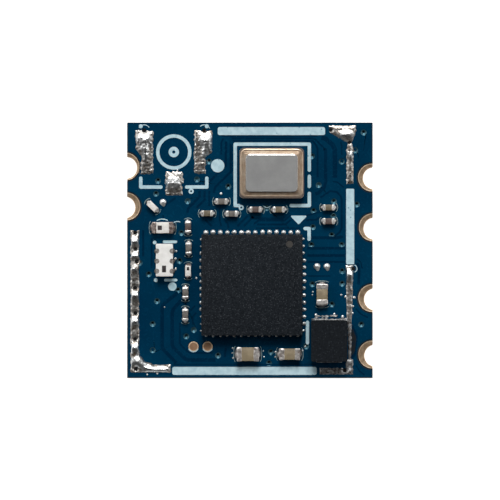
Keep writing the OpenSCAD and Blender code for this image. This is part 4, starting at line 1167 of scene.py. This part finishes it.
@dataclass
class ChipPart:
    """A two-ended chip: a fired body between tin caps, each in its own pool of solder."""

    name: str
    length: float
    width: float
    turn: float
    look: Look
    cap: float = 0.26
    pool: float = 0.1
    mark: bool = False
    ends: Look = Look.CHIP_TIN
    pad_lines: tuple[int, ...] = (-1, 1)

    def build(self, wardrobe: Wardrobe) -> None:
        """Makes the body and its two soldered ends, with the lower part of their solder painted darker as shade.

        Args:
            wardrobe: Where the materials come from.
        """
        ends = Span.of(self.name + "_terminals")
        body = Span.of(self.name + "_body")
        middle, board, top = ends.mid, ends.low.z, body.high.z
        half_l, half_w = self.length / 2, self.width / 2
        turn = Matrix.Translation((middle.x, middle.y, 0)) @ Matrix.Rotation(math.radians(self.turn), 4, "Z")
        inner = half_l * (1 - 2 * self.cap)
        chip = Shape().block((-inner - 0.03, -half_w + 0.01, board + 0.04), (inner + 0.03, half_w - 0.01, top - 0.01),
                             edge=0.025)
        if self.mark:
            chip.block((-0.8 * inner, -0.42 * half_w, top - 0.02), (-0.1 * inner, 0.36 * half_w, top - 0.004),
                       edge=0.002, slot=1)
        bmesh.ops.transform(chip.bm, matrix=turn, verts=chip.bm.verts)
        looks = (self.look, Look.CHIP_MARK) if self.mark else (self.look,)
        chip.piece(self.name + "_fired_body", wardrobe, looks, (self.name + "_body",))
        rng = random.Random(self.name)
        caps = Shape()
        for side in (-1, 1):
            near, far = sorted((side * inner, side * half_l))
            caps.block((near, -half_w, board + 0.03), (far, half_w, top), edge=0.045 if self.length < 0.8 else 0.03)
            height = (top - board) * rng.uniform(0.5, 0.75)
            caps.lump((side * half_l, rng.uniform(-0.03, 0.03), board),
                      (self.pool * rng.uniform(1.1, 1.5), half_w * 0.8, height))
            caps.lump((side * (half_l - 0.02), 0.0, board), (self.pool, half_w * 1.02, height * 0.7))
        caps.reflow(0.016 if self.length < 0.8 else 0.02, 2 if self.length < 0.8 else 1, 0.012, 8)
        # Faces in the lower part of the solder take the darker tin: painted shade round the base of each end.
        for face in caps.bm.faces:
            face.material_index = int(face.calc_center_median().z < board + 0.42 * (top - board))
        bmesh.ops.transform(caps.bm, matrix=turn, verts=caps.bm.verts)
        caps.piece(self.name + "_soldered_ends", wardrobe, (self.ends, Look.FOOT_TIN), (self.name + "_terminals",),
                   sharp=80)
        self._pad_lines(wardrobe, turn, half_l + self.pool, half_w, board)

    def _pad_lines(self, wardrobe: Wardrobe, turn: Matrix, reach: float, half_w: float, board: float) -> None:
        """The thin pale edge that a pad shows beyond its solder."""
        lines = Shape()
        for side in self.pad_lines:
            points = []
            for step in range(-4, 5):
                a = math.radians(step * 20)
                at = turn @ Vector((side * (reach - 0.05 + 0.1 * math.cos(a)), (half_w + 0.045) * math.sin(a), 0))
                points.append((at.x, at.y))
            lines.ribbon(points, 0.028, board - 0.005, board + 0.008)
        if self.pad_lines:
            lines.piece(self.name + "_pad_edges", wardrobe, (Look.PAD_EDGE,))


def chip_parts() -> tuple[ChipPart, ...]:
    """Every chip, in the order of the CAD list."""
    small, medium, large = (0.6, 0.31), (1.05, 0.57), (1.1, 0.69)
    return (
        ChipPart("antenna_coil", *small, -45, Look.CHIP_WHITE, cap=0.16),
        ChipPart("upper_cap_1", *small, 0, Look.CHIP_GREY),
        ChipPart("upper_cap_2", *small, 0, Look.CHIP_OLIVE),
        ChipPart("upper_cap_3", *small, 0, Look.CHIP_GREY),
        ChipPart("upper_cap_4", *small, 0, Look.CHIP_BROWN),
        ChipPart("upper_cap_5", *small, 0, Look.CHIP_OLIVE),
        ChipPart("right_cap_1", *small, 0, Look.CHIP_OLIVE),
        ChipPart("right_cap_2", *small, 0, Look.CHIP_BROWN),
        ChipPart("bias_coil", *medium, 0, Look.CHIP_WHITE, mark=True, cap=0.21, ends=Look.COIL_TIN),
        ChipPart("left_cap_1", *small, 90, Look.CHIP_BROWN),
        ChipPart("left_cap_2", *small, 90, Look.CHIP_GREY),
        ChipPart("match_coil", *small, -90, Look.CHIP_WHITE, mark=True, cap=0.1, ends=Look.COIL_TIN),
        ChipPart("left_cap_3", *small, 90, Look.CHIP_GREY),
        ChipPart("left_cap_4", *small, 90, Look.CHIP_GREY),
        ChipPart("bulk_cap_1", *large, 0, Look.CHIP_TAN, cap=0.24, ends=Look.WIDE_TIN),
        ChipPart("bulk_cap_2", *medium, 0, Look.CHIP_TAN, ends=Look.WIDE_TIN),
        ChipPart("output_cap", *medium, 90, Look.CHIP_TAN, ends=Look.WIDE_TIN))


# ---- Printed marks ----

@dataclass
class PrintedMarks:
    """The ink of the CAD node, and the thin broken curls of ink round the lands."""

    wardrobe: Wardrobe
    top: float
    line: float = 0.04

    def build(self) -> None:
        """Dresses the printed marks and adds the thin curls."""
        self.wardrobe.dress("silkscreen", Look.INK)
        curls = Shape()
        for at, radius, start, end in (((-5.25, 5.93), 0.3, 35, 150), ((-2.27, 5.93), 0.3, 25, 130),
                                       ((5.13, -0.91), 0.19, -70, 70), ((-3.6, 1.1), 0.33, 65, 125),
                                       ((-4.35, 1.0), 0.55, 60, 120), ((0.85, 2.28), 0.16, 215, 325)):
            steps = [math.radians(start + (end - start) * i / 10) for i in range(11)]
            curls.ribbon([(at[0] + radius * math.cos(a), at[1] + radius * math.sin(a)) for a in steps], self.line,
                         self.top - 0.004, self.top + 0.012)
        curls.piece("thin_ink_curls", self.wardrobe, (Look.INK,))


# ---- Studio ----

@dataclass
class Studio:
    """A pale floor, soft light from beyond the antenna end, and a long lens straight above."""

    distance: float = 0.25
    frame_width: float = 0.02483
    centre: Point = (0.000005, 0.000013)

    def build(self) -> None:
        """Sets the camera, the floor, the sky and the lamps."""
        scene = bpy.context.scene
        scene.view_settings.view_transform = "Standard"
        top = Span.of("circuit_board").high.z * MM
        lens = bpy.data.cameras.new("camera")
        lens.sensor_width = 36.0
        lens.lens = 36.0 * self.distance / self.frame_width
        lens.clip_start = 0.01
        lens.clip_end = 20.0
        camera = bpy.data.objects.new("camera", lens)
        camera.location = (self.centre[0], self.centre[1], top + self.distance)
        scene.collection.objects.link(camera)
        scene.camera = camera
        self._floor()
        self._sky()
        self._lamp("key", (0.0, 0.36, 0.42), 0.24, 2.35)
        self._lamp("left_fill", (-0.42, 0.12, 0.4), 0.2, 0.42)
        self._lamp("right_fill", (0.46, 0.1, 0.36), 0.2, 0.36)

    def _floor(self) -> None:
        """A wide pale floor that glows faintly, so that it stays white, and is clear from below."""
        ground = bmesh.new()
        bmesh.ops.create_grid(ground, x_segments=1, y_segments=1, size=3.0, matrix=pose((0, 0, -0.03 * MM)))
        mesh = bpy.data.meshes.new("floor")
        ground.to_mesh(mesh)
        ground.free()
        floor = bpy.data.objects.new("floor", mesh)
        bpy.context.scene.collection.objects.link(floor)
        paint = bpy.data.materials.new("floor_paint")
        paint.use_nodes = True
        paint.node_tree.nodes.clear()
        recipe = Recipe(paint.node_tree)
        place = recipe.add("ShaderNodeTexCoord").outputs["Object"]
        cloud = recipe.add("ShaderNodeTexNoise", None, Vector=place, Scale=3.0).outputs["Fac"]
        tone = recipe.blend(cloud, (0.8, 0.8, 0.8, 1), (0.82, 0.82, 0.82, 1))
        shader = recipe.add("ShaderNodeBsdfPrincipled", None, Base_Color=tone, Roughness=0.9)
        shader.inputs["Emission Color"].default_value = (1, 1, 1, 1)
        shader.inputs["Emission Strength"].default_value = 1.0
        below = recipe.add("ShaderNodeNewGeometry").outputs["Backfacing"]
        clear = recipe.add("ShaderNodeBsdfTransparent").outputs[0]
        both = recipe.add("ShaderNodeMixShader", None, i0=below, i1=shader.outputs[0], i2=clear).outputs[0]
        recipe.add("ShaderNodeOutputMaterial", None, Surface=both)
        mesh.materials.append(paint)

    def _sky(self) -> None:
        """A sky that is dim overhead and brighter towards the horizon."""
        world = bpy.data.worlds.new("studio")
        bpy.context.scene.world = world
        world.use_nodes = True
        world.node_tree.nodes.clear()
        recipe = Recipe(world.node_tree)
        way = recipe.add("ShaderNodeTexCoord").outputs["Generated"]
        parts = recipe.add("ShaderNodeSeparateXYZ", None, Vector=way)
        by_height = recipe.add("ShaderNodeMapRange", None, Value=parts.outputs[2], From_Min=0.1, From_Max=0.85,
                               To_Min=0.6, To_Max=0.02).outputs[0]
        by_side = recipe.add("ShaderNodeMapRange", None, Value=parts.outputs[1], From_Min=-0.7, From_Max=0.5,
                             To_Min=0.36, To_Max=1.2).outputs[0]
        level = recipe.maths("MULTIPLY", by_height, by_side)
        seen = recipe.add("ShaderNodeLightPath").outputs["Is Camera Ray"]
        glow = recipe.add("ShaderNodeMix", {"data_type": "FLOAT"}, i0=seen, i2=level, i3=0.9).outputs[0]
        sky = recipe.add("ShaderNodeBackground", None, Color=(0.97, 0.985, 1, 1), Strength=glow)
        recipe.add("ShaderNodeOutputWorld", None, Surface=sky.outputs[0])

    def _lamp(self, name: str, at: Sequence[float], size: float, power: float) -> None:
        """A soft square lamp that faces the board."""
        light = bpy.data.lights.new(name, "AREA")
        light.size = size
        light.energy = power
        lamp = bpy.data.objects.new(name, light)
        lamp.location = at
        lamp.rotation_euler = (-Vector(at)).to_track_quat("-Z", "Y").to_euler()
        bpy.context.scene.collection.objects.link(lamp)


def main() -> None:
    """Builds the studio and every sub-assembly, and reports each piece."""
    logging.basicConfig(level=logging.INFO, format="%(message)s")
    wardrobe = Wardrobe()
    Studio().build()
    board = CircuitBoard(wardrobe)
    board.build()
    BareLands(wardrobe, board.top).build()
    Processor(wardrobe).build()
    Crystal(wardrobe).build()
    Inductor(wardrobe).build()
    Filter(wardrobe).build()
    for chip in chip_parts():
        chip.build(wardrobe)
    PrintedMarks(wardrobe, board.top).build()


if __name__ == "__main__":
    main()
